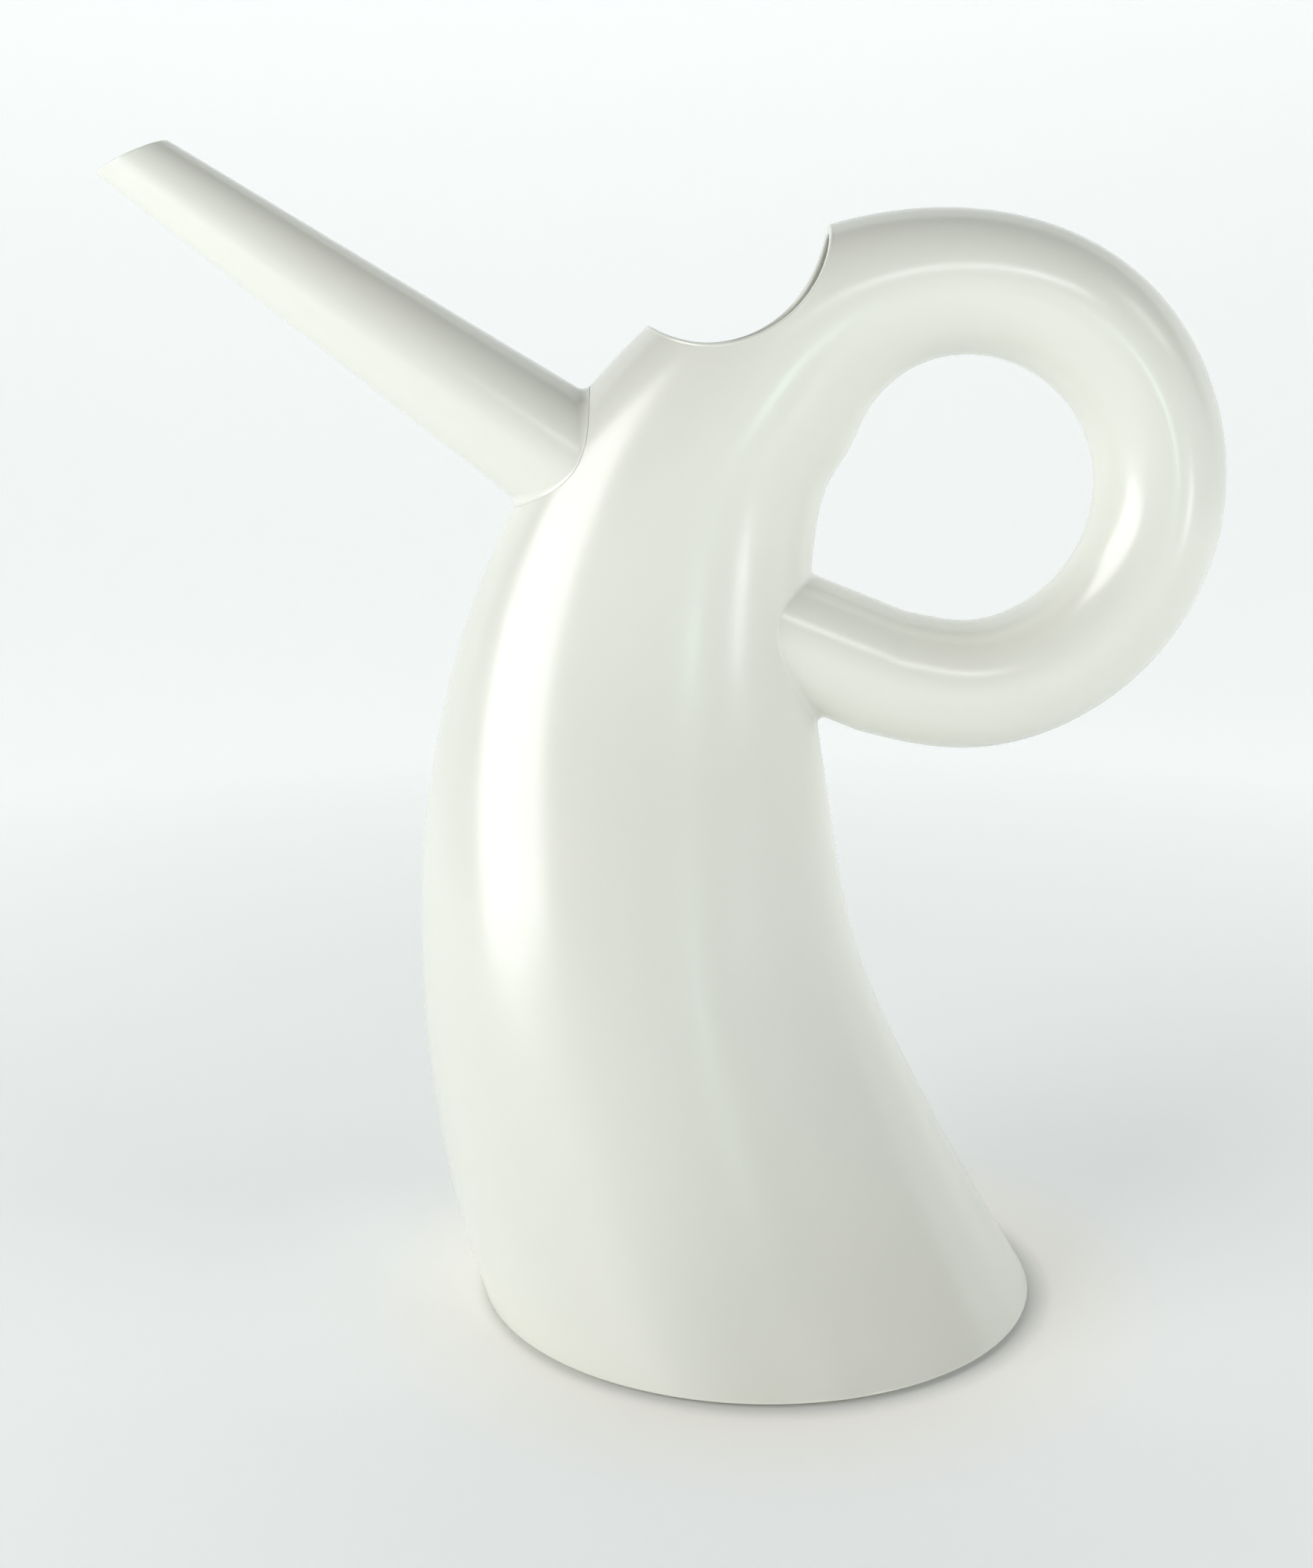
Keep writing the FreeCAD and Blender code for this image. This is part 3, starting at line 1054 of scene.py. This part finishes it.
    def add_loop_joint(self, line_pair: list[Array]) -> Array:
        """Add the round between the body's back and the loop's end, and the loop's last stretch.

        Args:
            line_pair: the outer skin's lines on both sides of the joint.

        Returns:
            The outer skin's last line, which meets the loop's end.
        """
        horn = self.horn
        ring = np.concatenate([line_pair[0][: self.half_rows - 1 : -1], line_pair[1][self.half_rows + 1 :]])
        axis = self.loop_axis()
        centres = horn.lifted(ring, self.loop_fillet)
        radial = unit(axis.radial(centres))
        patch = fillet_patch(centres, -horn.normals(ring), -radial, self.loop_fillet, self.fillet_steps)
        self.skin.add_with_twin(*patch)
        end = places_at(horn.length, axis.angle(centres))
        tube = blend(centres - self.loop_fillet * radial, horn.points(end), self.tube_steps)
        self.skin.add_with_twin(tube, radial)
        return end

    def add_boss(self, outer_pair: list[Array], inner_pair: list[Array]) -> None:
        """Add the boss that carries the spout's socket, from the inner skin round to the spout's hole.

        Args:
            outer_pair: the outer skin's lines on both sides of the spout's hole.
            inner_pair: the inner skin's lines on both sides of the boss.
        """
        axis = self.joint.axis(self.horn)
        root = self.horn.points(self.whole_rim(inner_pair, self.spout_rows), -self.wall)
        hole = self.horn.points(self.whole_rim(outer_pair, self.spout_rows))
        angles = axis.angle(root)
        way = axis.direction(angles)
        rings = add_turned(self.skin, axis, angles, self.joint.boss_profile(), 1.0)
        self.skin.add_with_twin(np.stack([root, rings[0]]), way)
        self.skin.add_with_twin(np.stack([rings[-1], hole]), -way)

    def add_mouth_rim(self, outer_pair: list[Array], inner_pair: list[Array]) -> None:
        """Add the rounded rim of the mouth.

        Args:
            outer_pair: the outer skin's lines on both sides of the mouth.
            inner_pair: the inner skin's lines on both sides of the mouth.
        """
        outer = self.horn.points(self.whole_rim(outer_pair, self.mouth_rows))
        inner = self.horn.points(self.whole_rim(inner_pair, self.mouth_rows), -self.wall)
        centre = np.array([self.mouth_x, 0.0, self.mouth_height])
        way = unit((centre - (outer + inner) / 2.0) * (1.0 - ACROSS))
        rim = rounded_rim(outer, inner, way, self.mouth_round, self.mouth_steps)
        self.skin.add_with_twin(rim, grid_normals(rim, way))

    def add_foot(self, start: Array, inner_start: Array) -> None:
        """Add the foot's rounded rim and the stepped seat of the base plate.

        Args:
            start: the outer skin's first line.
            inner_start: the inner skin's first line.
        """
        edge = self.horn.points(start)
        corner = self.horn.points(self.level_line(self.horn.along_at_height(self.rim_gap)))
        flat_way = -unit(corner * (1.0 - UP))
        inside = corner + self.rim_round * flat_way
        share = np.linspace(0.0, 1.0, self.foot_steps + 1)[:, None, None]
        curve = (1.0 - share) ** 2 * edge + 2.0 * share * (1.0 - share) * corner + share**2 * inside
        self.skin.add_with_twin(curve, grid_normals(curve, -flat_way - UP))
        profile = [
            (self.base_bore, -self.rim_gap),
            (self.base_bore, -self.seat_height),
            (self.ledge_bore, -self.seat_height),
            (self.ledge_bore, -self.ledge_top),
        ]
        rings = add_turned(self.skin, FOOT_AXIS, FOOT_AXIS.angle(inside), profile, 1.0)
        self.skin.add_with_twin(np.stack([inside, rings[0]]), -UP)
        self.skin.add_with_twin(np.stack([rings[-1], self.horn.points(inner_start, -self.wall)]), UP)

    def build(self) -> bpy.types.Object:
        """Make the body.

        Returns:
            One welded mesh for both half shells.
        """
        horn = self.horn
        axis = self.loop_axis()
        lift = self.loop_fillet
        loop_rims = horn.slit(
            lambda places: axis.distance(horn.lifted(places, lift)) - horn.tube_radius - lift,
            *(float(horn.knots[row]) for row in self.loop_search),
            Edge.BACK,
        )
        loop_pair = self.back_lines(loop_rims, [axis.angle(horn.lifted(rim, lift)) for rim in loop_rims])
        start = self.level_line(horn.along_at_height(self.rim_gap + self.rim_round))
        end = self.add_loop_joint(loop_pair)
        hole_pair = self.spout_lines(self.joint.hole_radius, 0.0)
        mouth_pair = self.mouth_lines(0.0)
        self.add_skin([start, *loop_pair, *hole_pair, *mouth_pair, end], self.block_steps, 0.0)
        inner_start = self.level_line(horn.along_at_height(self.ledge_top))
        inner_end = self.level_line(horn.length)
        boss_pair = self.spout_lines(self.joint.boss_radius, -self.wall)
        inner_mouth_pair = self.mouth_lines(-self.wall)
        inner_steps = (self.block_steps[0] + self.block_steps[1], *self.block_steps[2:])
        self.add_skin([inner_start, *boss_pair, *inner_mouth_pair, inner_end], inner_steps, -self.wall)
        cap_edge = horn.points(inner_end, -self.wall)
        cap = blend(cap_edge, np.broadcast_to(axis.start, cap_edge.shape), self.cap_steps)
        self.skin.add_with_twin(cap, -axis.heading)
        self.add_boss(hole_pair, boss_pair)
        self.add_mouth_rim(mouth_pair, inner_mouth_pair)
        self.add_foot(start, inner_start)
        return self.skin.make("body")

    def dress(self, obj: bpy.types.Object) -> None:
        """Give the body its finish and its place in the part."""
        settle(obj, GlossyWhite().make(), Body.CAN, "body", "body_shell_left", "body_shell_right")


@dataclass
class SpoutSkin:
    """The tapered spout with its flared saddle, oblique lip, bore, spigot and seal groove."""

    horn: HornForm
    joint: SpoutJoint
    length: float = 0.1265
    root_radius: float = 0.0165
    tip_radius: float = 0.0085
    lip_angle: float = 24.7
    lip_round: float = 0.0007
    saddle_gap: float = 0.00006
    flare: float = 0.0030
    edge_thickness: float = 0.00006
    spigot_radius: float = 0.013
    spigot_length: float = 0.027
    bore_root_radius: float = 0.0102
    bore_tip_radius: float = 0.00599
    groove_top: float = 0.014
    groove_end: float = 0.017
    groove_radius: float = 0.0114
    seal_gap: float = 0.00006
    seal_room: float = 0.00025
    seal_corner: float = 0.0006
    half_rows: int = 36
    flare_steps: int = 10
    cone_steps: int = 50
    lip_steps: int = 10
    bore_steps: int = 40
    underside_steps: int = 6
    skin: SkinBuilder = field(default_factory=SkinBuilder, init=False)
    axis: AxisLine = field(init=False)

    def __post_init__(self) -> None:
        """Find the axis."""
        self.axis = self.joint.axis(self.horn)

    def seal_bars(self) -> tuple[Bar, ...]:
        """Describe the seal.

        Returns:
            Its one bar, which lies in the spigot's groove and reaches to the socket's bore.
        """
        inner = self.groove_radius + self.seal_gap
        outer = self.joint.sleeve_bore - self.seal_gap
        depths = self.groove_top + self.seal_room, self.groove_end - self.seal_room
        return (Bar(inner, outer, *depths, self.seal_corner),)

    def radius_at(self, reach: Array) -> Array:
        """Return the spout's outer radius at a reach from the seat."""
        return self.root_radius + (self.tip_radius - self.root_radius) * reach / self.length

    def bore_at(self, reach: Array) -> Array:
        """Return the bore's radius at a reach from the seat."""
        share = (reach + self.spigot_length) / (self.length + self.spigot_length)
        return self.bore_root_radius + (self.bore_tip_radius - self.bore_root_radius) * share

    def off_cone(self, points: Array) -> Array:
        """Return how far points lie outside the spout's tapered face, square to its axis."""
        return self.axis.distance(points) - self.radius_at(self.axis.reach(points))

    def lip_ring(self, angles: Array, profile: Callable[[Array], Array]) -> Array:
        """Find where the oblique lip cuts a tapered face.

        Args:
            angles: angles round the spout's axis.
            profile: the face's radius as a function of reach.

        Returns:
            The points of the cut, set back by the height of the lip's round.
        """
        tilt = math.radians(self.lip_angle)
        lip_normal = np.array([-math.sin(tilt), 0.0, math.cos(tilt)])
        facing = float(self.axis.heading @ lip_normal)
        way = self.axis.direction(angles) @ lip_normal
        start = float(profile(np.array(0.0)))
        slope = float(profile(np.array(1.0))) - start
        top = self.length - self.lip_round
        reach = (top * facing - start * way) / (facing + slope * way)
        return self.axis.ring(angles, profile(reach), reach)

    def saddle_ring(self, signed: Callable[[Array], Array]) -> Array:
        """Trace a ring round the spout on the body's front.

        Args:
            signed: a function of places on the horn that is negative inside the ring.

        Returns:
            Places on the horn from below the spout's axis round to above it.
        """
        near, far = self.joint.rims(self.horn, signed)
        line = np.concatenate([near, far[-2::-1]])
        return evenly(line, self.axis.angle(self.horn.points(line)), 2 * self.half_rows)

    def add_saddle(self) -> tuple[Array, Array, Array]:
        """Add the flare at the spout's root and its thin edge.

        Returns:
            The flare's upper line, the foot of its edge and the directions from there into the body.
        """
        lift = self.flare + self.saddle_gap
        ring = self.saddle_ring(lambda places: self.off_cone(self.horn.lifted(places, lift)) - self.flare)
        centres = self.horn.lifted(ring, lift)
        down = -self.horn.normals(ring)
        to_axis = -unit(self.axis.radial(centres))
        inward = unit(to_axis - np.sum(to_axis * down, axis=-1, keepdims=True) * down)
        edge_turn = math.acos(1.0 - self.edge_thickness / self.flare)
        edge_way = math.cos(edge_turn) * down + math.sin(edge_turn) * inward
        flare, normals = fillet_patch(centres, edge_way, to_axis, self.flare, self.flare_steps)
        self.skin.add_with_twin(flare, normals)
        edge_foot = flare[0] + self.edge_thickness * down
        self.skin.add_with_twin(np.stack([edge_foot, flare[0]]), -inward)
        return flare[-1], edge_foot, down

    def add_tube(self, root: Array, angles: Array) -> None:
        """Add the tapered face, the rounded lip and the bore.

        Args:
            root: the line at which the tapered face starts.
            angles: its angles round the spout's axis.
        """
        axis = self.axis
        way = axis.direction(angles)
        lip_outer = self.lip_ring(angles, self.radius_at)
        lip_inner = self.lip_ring(angles, self.bore_at)
        lean = (self.root_radius - self.tip_radius) / self.length
        cone = blend(root, lip_outer, self.cone_steps)
        self.skin.add_with_twin(cone, unit(way + lean * axis.heading))
        rim = rounded_rim(lip_outer, lip_inner, axis.heading, self.lip_round, self.lip_steps)
        self.skin.add_with_twin(rim, grid_normals(rim, axis.heading))
        bore_end = axis.ring(angles, self.bore_root_radius, -self.spigot_length)
        self.skin.add_with_twin(blend(lip_inner, bore_end, self.bore_steps), -way)

    def add_spigot(self, angles: Array, edge_foot: Array, down: Array) -> None:
        """Add the spigot with the seal's groove, and the saddle's underside.

        Args:
            angles: the rows' angles round the spout's axis.
            edge_foot: the foot of the saddle's edge.
            down: directions from there into the body.
        """
        gap = self.saddle_gap
        root = self.saddle_ring(
            lambda places: self.axis.distance(self.horn.points(places, gap)) - self.spigot_radius
        )
        root_line = self.horn.points(root, gap)
        profile = [
            (self.bore_root_radius, self.spigot_length),
            (self.spigot_radius, self.spigot_length),
            (self.spigot_radius, self.groove_end),
            (self.groove_radius, self.groove_end),
            (self.groove_radius, self.groove_top),
            (self.spigot_radius, self.groove_top),
        ]
        rings = add_turned(self.skin, self.axis, angles, profile, -1.0)
        self.skin.add_with_twin(np.stack([rings[-1], root_line]), self.axis.direction(angles))
        self.skin.add_with_twin(blend(root_line, edge_foot, self.underside_steps), down)

    def build(self) -> bpy.types.Object:
        """Make the spout.

        Returns:
            One closed mesh.
        """
        root, edge_foot, down = self.add_saddle()
        angles = self.axis.angle(root)
        self.add_tube(root, angles)
        self.add_spigot(angles, edge_foot, down)
        return self.skin.make("spout_tube")

    def dress(self, obj: bpy.types.Object) -> None:
        """Give the spout its finish and its place in the part."""
        white = GlossyWhite(name="glossy_white_spout", seam=False)
        settle(obj, white.make(), Body.SPOUT, "spout", "spout")


@dataclass
class BasePlate:
    """The disc that closes the body from below, with the ring that the can stands on."""

    plate_radius: float = 0.06845
    plate_bottom: float = 0.0032
    plate_top: float = 0.0062
    ring_radius: float = 0.0645
    ring_inner: float = 0.0595
    edge_round: float = 0.0006
    rows: int = 64

    def build(self) -> bpy.types.Object:
        """Make the base plate.

        Returns:
            One closed mesh.
        """
        small = self.edge_round
        outline = [
            (0.0, self.plate_bottom),
            (self.ring_inner, self.plate_bottom),
            (self.ring_inner, small),
            (self.ring_inner + small, 0.0),
            (self.ring_radius - small, 0.0),
            (self.ring_radius, small),
            (self.ring_radius, self.plate_bottom),
            (self.plate_radius, self.plate_bottom),
            (self.plate_radius, self.plate_top),
            (0.0, self.plate_top),
        ]
        profile = [(radius, -height) for radius, height in outline]
        skin = SkinBuilder()
        add_turned(skin, FOOT_AXIS, np.linspace(0.0, math.pi, self.rows + 1), profile, -1.0)
        return skin.make("foot_plate")

    def dress(self, obj: bpy.types.Object) -> None:
        """Give the base plate its finish and its place in the part."""
        settle(obj, SatinWhite().make(), Body.CAN, "base", "base_plate")


class RingTree:
    """A Geometry Nodes tree that sweeps a rounded bar round a circle."""

    inputs: tuple[str, ...] = ("Middle Radius", "Bar Width", "Bar Height", "Corner Radius")
    corner_steps: int = 5
    ring_steps: int = 96

    def __init__(self, material: bpy.types.Material) -> None:
        """Build the tree.

        Args:
            material: the material that the ring takes.
        """
        self.tree = bpy.data.node_groups.new("turned_ring", "GeometryNodeTree")
        for name in self.inputs:
            self.tree.interface.new_socket(name=name, in_out="INPUT", socket_type="NodeSocketFloat")
        self.tree.interface.new_socket(name="Ring", in_out="OUTPUT", socket_type="NodeSocketGeometry")
        nodes = self.tree.nodes
        given = nodes.new("NodeGroupInput")
        bar = nodes.new("GeometryNodeCurvePrimitiveQuadrilateral")
        soft = nodes.new("GeometryNodeFilletCurve")
        soft.mode = "POLY"
        soft.inputs["Count"].default_value = self.corner_steps
        circle = nodes.new("GeometryNodeCurvePrimitiveCircle")
        circle.inputs["Resolution"].default_value = self.ring_steps
        sweep = nodes.new("GeometryNodeCurveToMesh")
        real = nodes.new("GeometryNodeRealizeInstances")
        paint = nodes.new("GeometryNodeSetMaterial")
        paint.inputs["Material"].default_value = material
        result = nodes.new("NodeGroupOutput")
        for source, output, target, name in (
            (given, "Middle Radius", circle, "Radius"),
            (given, "Bar Width", bar, "Width"),
            (given, "Bar Height", bar, "Height"),
            (bar, "Curve", soft, "Curve"),
            (given, "Corner Radius", soft, "Radius"),
            (circle, "Curve", sweep, "Curve"),
            (soft, "Curve", sweep, "Profile Curve"),
            (sweep, "Mesh", real, "Geometry"),
            (real, "Geometry", paint, "Geometry"),
            (paint, "Geometry", result, "Ring"),
        ):
            self.tree.links.new(source.outputs[output], target.inputs[name])

    def make(self, name: str, bar: Bar) -> bpy.types.Mesh:
        """Sweep one ring about the Z axis.

        Args:
            name: the mesh's name.
            bar: the ring's cross section.

        Returns:
            A plain mesh.
        """
        values = ((bar.inner + bar.outer) / 2.0, bar.outer - bar.inner, bar.bottom - bar.top, bar.corner)
        host = linked(name, bpy.data.meshes.new(name))
        modifier = host.modifiers.new("ring", "NODES")
        modifier.node_group = self.tree
        sockets = {item.name: item.identifier for item in self.tree.interface.items_tree}
        for label, value in zip(self.inputs, values):
            modifier[sockets[label]] = value
        host.update_tag()
        ready = host.evaluated_get(bpy.context.evaluated_depsgraph_get())
        mesh = bpy.data.meshes.new_from_object(ready)
        bpy.data.objects.remove(host)
        return mesh


@dataclass
class TurnedRings:
    """Rings about the spout's axis, swept by the ring tree and set at their depths."""

    axis: AxisLine
    name: str
    bars: tuple[Bar, ...]
    material: bpy.types.Material
    body: Body
    slot: str
    node: str
    sharp_angle: float = 40.0

    def build(self) -> bpy.types.Object:
        """Make the rings.

        Returns:
            All the rings as one object.
        """
        tree = RingTree(self.material)
        points: list[Array] = []
        faces: list[list[int]] = []
        sides = np.stack([self.axis.low_side, ACROSS, self.axis.heading])
        for bar in self.bars:
            mesh = tree.make(self.name, bar)
            local = np.empty(3 * len(mesh.vertices))
            mesh.vertices.foreach_get("co", local)
            depth = UP * (bar.top + bar.bottom) / 2.0
            first = len(points)
            points.extend(self.axis.start + (local.reshape(-1, 3) - depth) @ sides)
            faces.extend([first + vertex for vertex in polygon.vertices] for polygon in mesh.polygons)
            bpy.data.meshes.remove(mesh)
        mesh = bpy.data.meshes.new(self.name)
        mesh.from_pydata([tuple(point) for point in points], [], faces)
        middle = np.mean(points, axis=0)
        total = 0.0
        for polygon in mesh.polygons:
            total += polygon.area * float(np.dot(polygon.normal, np.array(polygon.center) - middle))
        if total < 0:
            mesh.flip_normals()
        mesh.shade_smooth()
        mesh.set_sharp_from_angle(angle=math.radians(self.sharp_angle))
        return linked(self.name, mesh)

    def dress(self, obj: bpy.types.Object) -> None:
        """Give the rings their finish and their place in the part."""
        settle(obj, self.material, self.body, self.slot, self.node)


@dataclass(frozen=True)
class SoftBox:
    """One soft studio lamp, placed by its direction from the can."""

    name: str
    azimuth: float
    elevation: float
    distance: float
    width: float
    height: float
    power: float
    colour: Colour = (1.0, 1.0, 1.0)
    lean: float = 0.0
    mirrored: bool = True
    target_height: float = 0.16

    def build(self) -> bpy.types.Object:
        """Make the lamp.

        Returns:
            The lamp object; azimuth 0 is the camera's side and a positive one is to its right.
        """
        light = bpy.data.lights.new(self.name, "AREA")
        light.shape = "RECTANGLE"
        light.size = self.width
        light.size_y = self.height
        light.energy = self.power
        light.color = self.colour
        lamp = linked(self.name, light)
        side = math.radians(self.azimuth)
        rise = math.radians(self.elevation)
        flat = self.distance * math.cos(rise)
        lamp.location = (
            flat * math.sin(side),
            -flat * math.cos(side),
            self.target_height + self.distance * math.sin(rise),
        )
        aim = Euler((math.pi / 2.0 - rise, 0.0, side)).to_matrix()
        turn = Matrix.Rotation(math.radians(self.lean), 3, "Z")
        lamp.rotation_euler = (aim @ turn).to_euler()
        lamp.visible_glossy = self.mirrored
        return lamp


@dataclass
class Studio:
    """The pale sweep behind and under the can, the lamps and the camera."""

    sweep_near: float = -9.0
    sweep_back: float = 1.6
    sweep_bend: float = 0.8
    sweep_height: float = 3.5
    sweep_half_width: float = 9.0
    bend_steps: int = 16
    sweep_roughness: float = 0.85
    floor_colour: Colour = (0.83, 0.845, 0.84)
    wall_colour: Colour = (0.90, 0.93, 0.93)
    ceiling_colour: Colour = (0.03, 0.035, 0.03)
    horizon: Span = (0.05, 0.32)
    world_strength: float = 0.72
    glow: Span = (0.25, 0.47)
    glow_span: Span = (0.15, 0.75)
    # a narrow ring of painted contact shadow round the foot: where it runs, and how much of the glow is left
    # in it
    painted_shadow_span: Span = (0.074, 0.081)
    painted_shadow_share: float = 0.1
    # the painted warm bounce light near the foot: where it fades out, the glow's plain colour and the
    # bounce's warm colour
    painted_bounce_end: float = 0.115
    cool_light: Colour = (0.97, 1.0, 1.0)
    painted_bounce_colour: Colour = (1.0, 0.93, 0.78)
    camera_place: tuple[float, float, float] = (-0.03015, -0.5344, 0.25965)
    camera_pitch: float = 12.4
    camera_lens: float = 46.73
    camera_clip: float = 0.01
    sensor_height: float = 36.0
    # name, azimuth, elevation, distance, width, height, power and, where it is not white, colour
    lamps: tuple[SoftBox, ...] = (
        SoftBox("lamp_left", -58.0, 16.0, 1.5, 0.95, 1.2, 13.5, lean=24.0),
        SoftBox("lamp_right", 46.0, -4.0, 1.4, 0.14, 0.22, 0.60),
        SoftBox("lamp_side", 66.0, 18.0, 1.4, 1.20, 0.60, 5.4, mirrored=False),
        SoftBox("lamp_loop", 66.0, 32.0, 1.4, 0.30, 0.35, 0.5),
        SoftBox("lamp_strip", 22.0, 2.5, 1.4, 0.05, 0.14, 0.26, (0.66, 1.0, 0.88)),
        SoftBox("lamp_high", 18.0, 27.0, 1.4, 0.60, 0.14, 1.1),
    )

    def build(self) -> None:
        """Make the sweep, the lamps, the world and the camera."""
        self.make_sweep()
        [lamp.build() for lamp in self.lamps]
        self.make_world()
        self.make_camera()
        bpy.context.scene.view_settings.view_transform = "Standard"

    def make_sweep(self) -> bpy.types.Object:
        """Make the floor that bends up into the backdrop.

        Returns:
            The sweep, with a weak glow of its own, a painted contact shadow round the foot and a painted
            warm bounce light near it.
        """
        bend = np.linspace(0.0, math.pi / 2.0, self.bend_steps + 1)
        arc_y = self.sweep_back - self.sweep_bend + self.sweep_bend * np.sin(bend)
        arc_z = self.sweep_bend - self.sweep_bend * np.cos(bend)
        line_y = np.concatenate([[self.sweep_near], arc_y, [self.sweep_back]])
        line_z = np.concatenate([[0.0], arc_z, [self.sweep_height]])
        left = np.stack([np.full_like(line_y, -self.sweep_half_width), line_y, line_z], -1)
        grid = np.stack([left, left * (-1.0, 1.0, 1.0)], 1)
        skin = SkinBuilder()
        skin.add(grid, grid_normals(grid, UP - ACROSS))
        sweep = skin.make("sweep")
        kit = MaterialKit("pale_sweep")
        kit.set(kit.shader, Roughness=self.sweep_roughness, **{"Base Color": (*self.floor_colour, 1.0)})
        distance = kit.new("ShaderNodeVectorMath")
        distance.operation = "LENGTH"
        kit.link(kit.place, "Object", distance, "Vector")
        glow = kit.map_range(distance, "Value", self.glow_span, self.glow)
        # the glow dies away in a narrow ring at the foot: a painted contact shadow on the floor round the
        # rim, which also keeps the gap under the rim dark
        painted_shadow = kit.map_range(distance, "Value", self.painted_shadow_span, (self.painted_shadow_share, 1.0))
        shaded = kit.new("ShaderNodeMath")
        shaded.operation = "MULTIPLY"
        for node, socket in zip((glow, painted_shadow), shaded.inputs):
            kit.tree.links.new(node.outputs["Result"], socket)
        kit.link(shaded, "Value", kit.shader, "Emission Strength")
        # close to the foot the floor's glow turns warm: a painted warm bounce of light from the can's cream
        # wall
        tint = kit.mix_colour(self.painted_bounce_colour, self.cool_light)
        painted_bounce_nearness = kit.map_range(distance, "Value", (self.painted_shadow_span[1], self.painted_bounce_end), (0.0, 1.0))
        kit.link(painted_bounce_nearness, "Result", tint, "Factor")
        kit.link(tint, "Result", kit.shader, "Emission Color")
        sweep.data.materials.append(kit.owner)
        return sweep

    def make_world(self) -> None:
        """Make the surrounding light, pale at the horizon and dark overhead."""
        kit = NodeKit(bpy.data.worlds.new("studio"))
        sky = kit.new("ShaderNodeBackground", Strength=self.world_strength)
        kit.link(sky, "Background", kit.new("ShaderNodeOutputWorld"), "Surface")
        split = kit.new("ShaderNodeSeparateXYZ")
        kit.link(kit.place, "Generated", split, "Vector")
        mix = kit.mix_colour(self.wall_colour, self.ceiling_colour)
        kit.link(kit.map_range(split, "Z", self.horizon, (0.0, 1.0)), "Result", mix, "Factor")
        kit.link(mix, "Result", sky, "Color")
        bpy.context.scene.world = kit.owner

    def make_camera(self) -> None:
        """Make the camera where the photograph was taken from."""
        camera = bpy.data.cameras.new("camera")
        camera.sensor_fit = "VERTICAL"
        camera.sensor_height = self.sensor_height
        camera.lens = self.camera_lens
        camera.clip_start = self.camera_clip
        eye = linked("camera", camera)
        eye.location = self.camera_place
        eye.rotation_euler = (math.radians(90.0 - self.camera_pitch), 0.0, 0.0)
        bpy.context.scene.camera = eye


def main() -> None:
    """Build every piece of the can and the studio, in order."""
    logging.basicConfig(level=logging.INFO, format="%(name)s: %(message)s")
    horn = HornForm()
    joint = SpoutJoint()
    spout = SpoutSkin(horn, joint)
    socket_white = SatinWhite(name="socket_white", grain_strength=0.1).make()
    rubber = BlackRubber().make()
    socket = TurnedRings(
        spout.axis, "socket_sleeve", joint.socket_bars(), socket_white, Body.CAN, "socket", "spout_socket"
    )
    seal = TurnedRings(
        spout.axis, "seal_ring", spout.seal_bars(), rubber, Body.SPOUT, "seal", "spout_seal"
    )
    for piece in (BodySkin(horn, joint), spout, BasePlate(), socket, seal):
        obj = piece.build()
        piece.dress(obj)
        LOG.info("%s: %d faces", obj.name, len(obj.data.polygons))
    Studio().build()


if __name__ == "__main__":
    main()
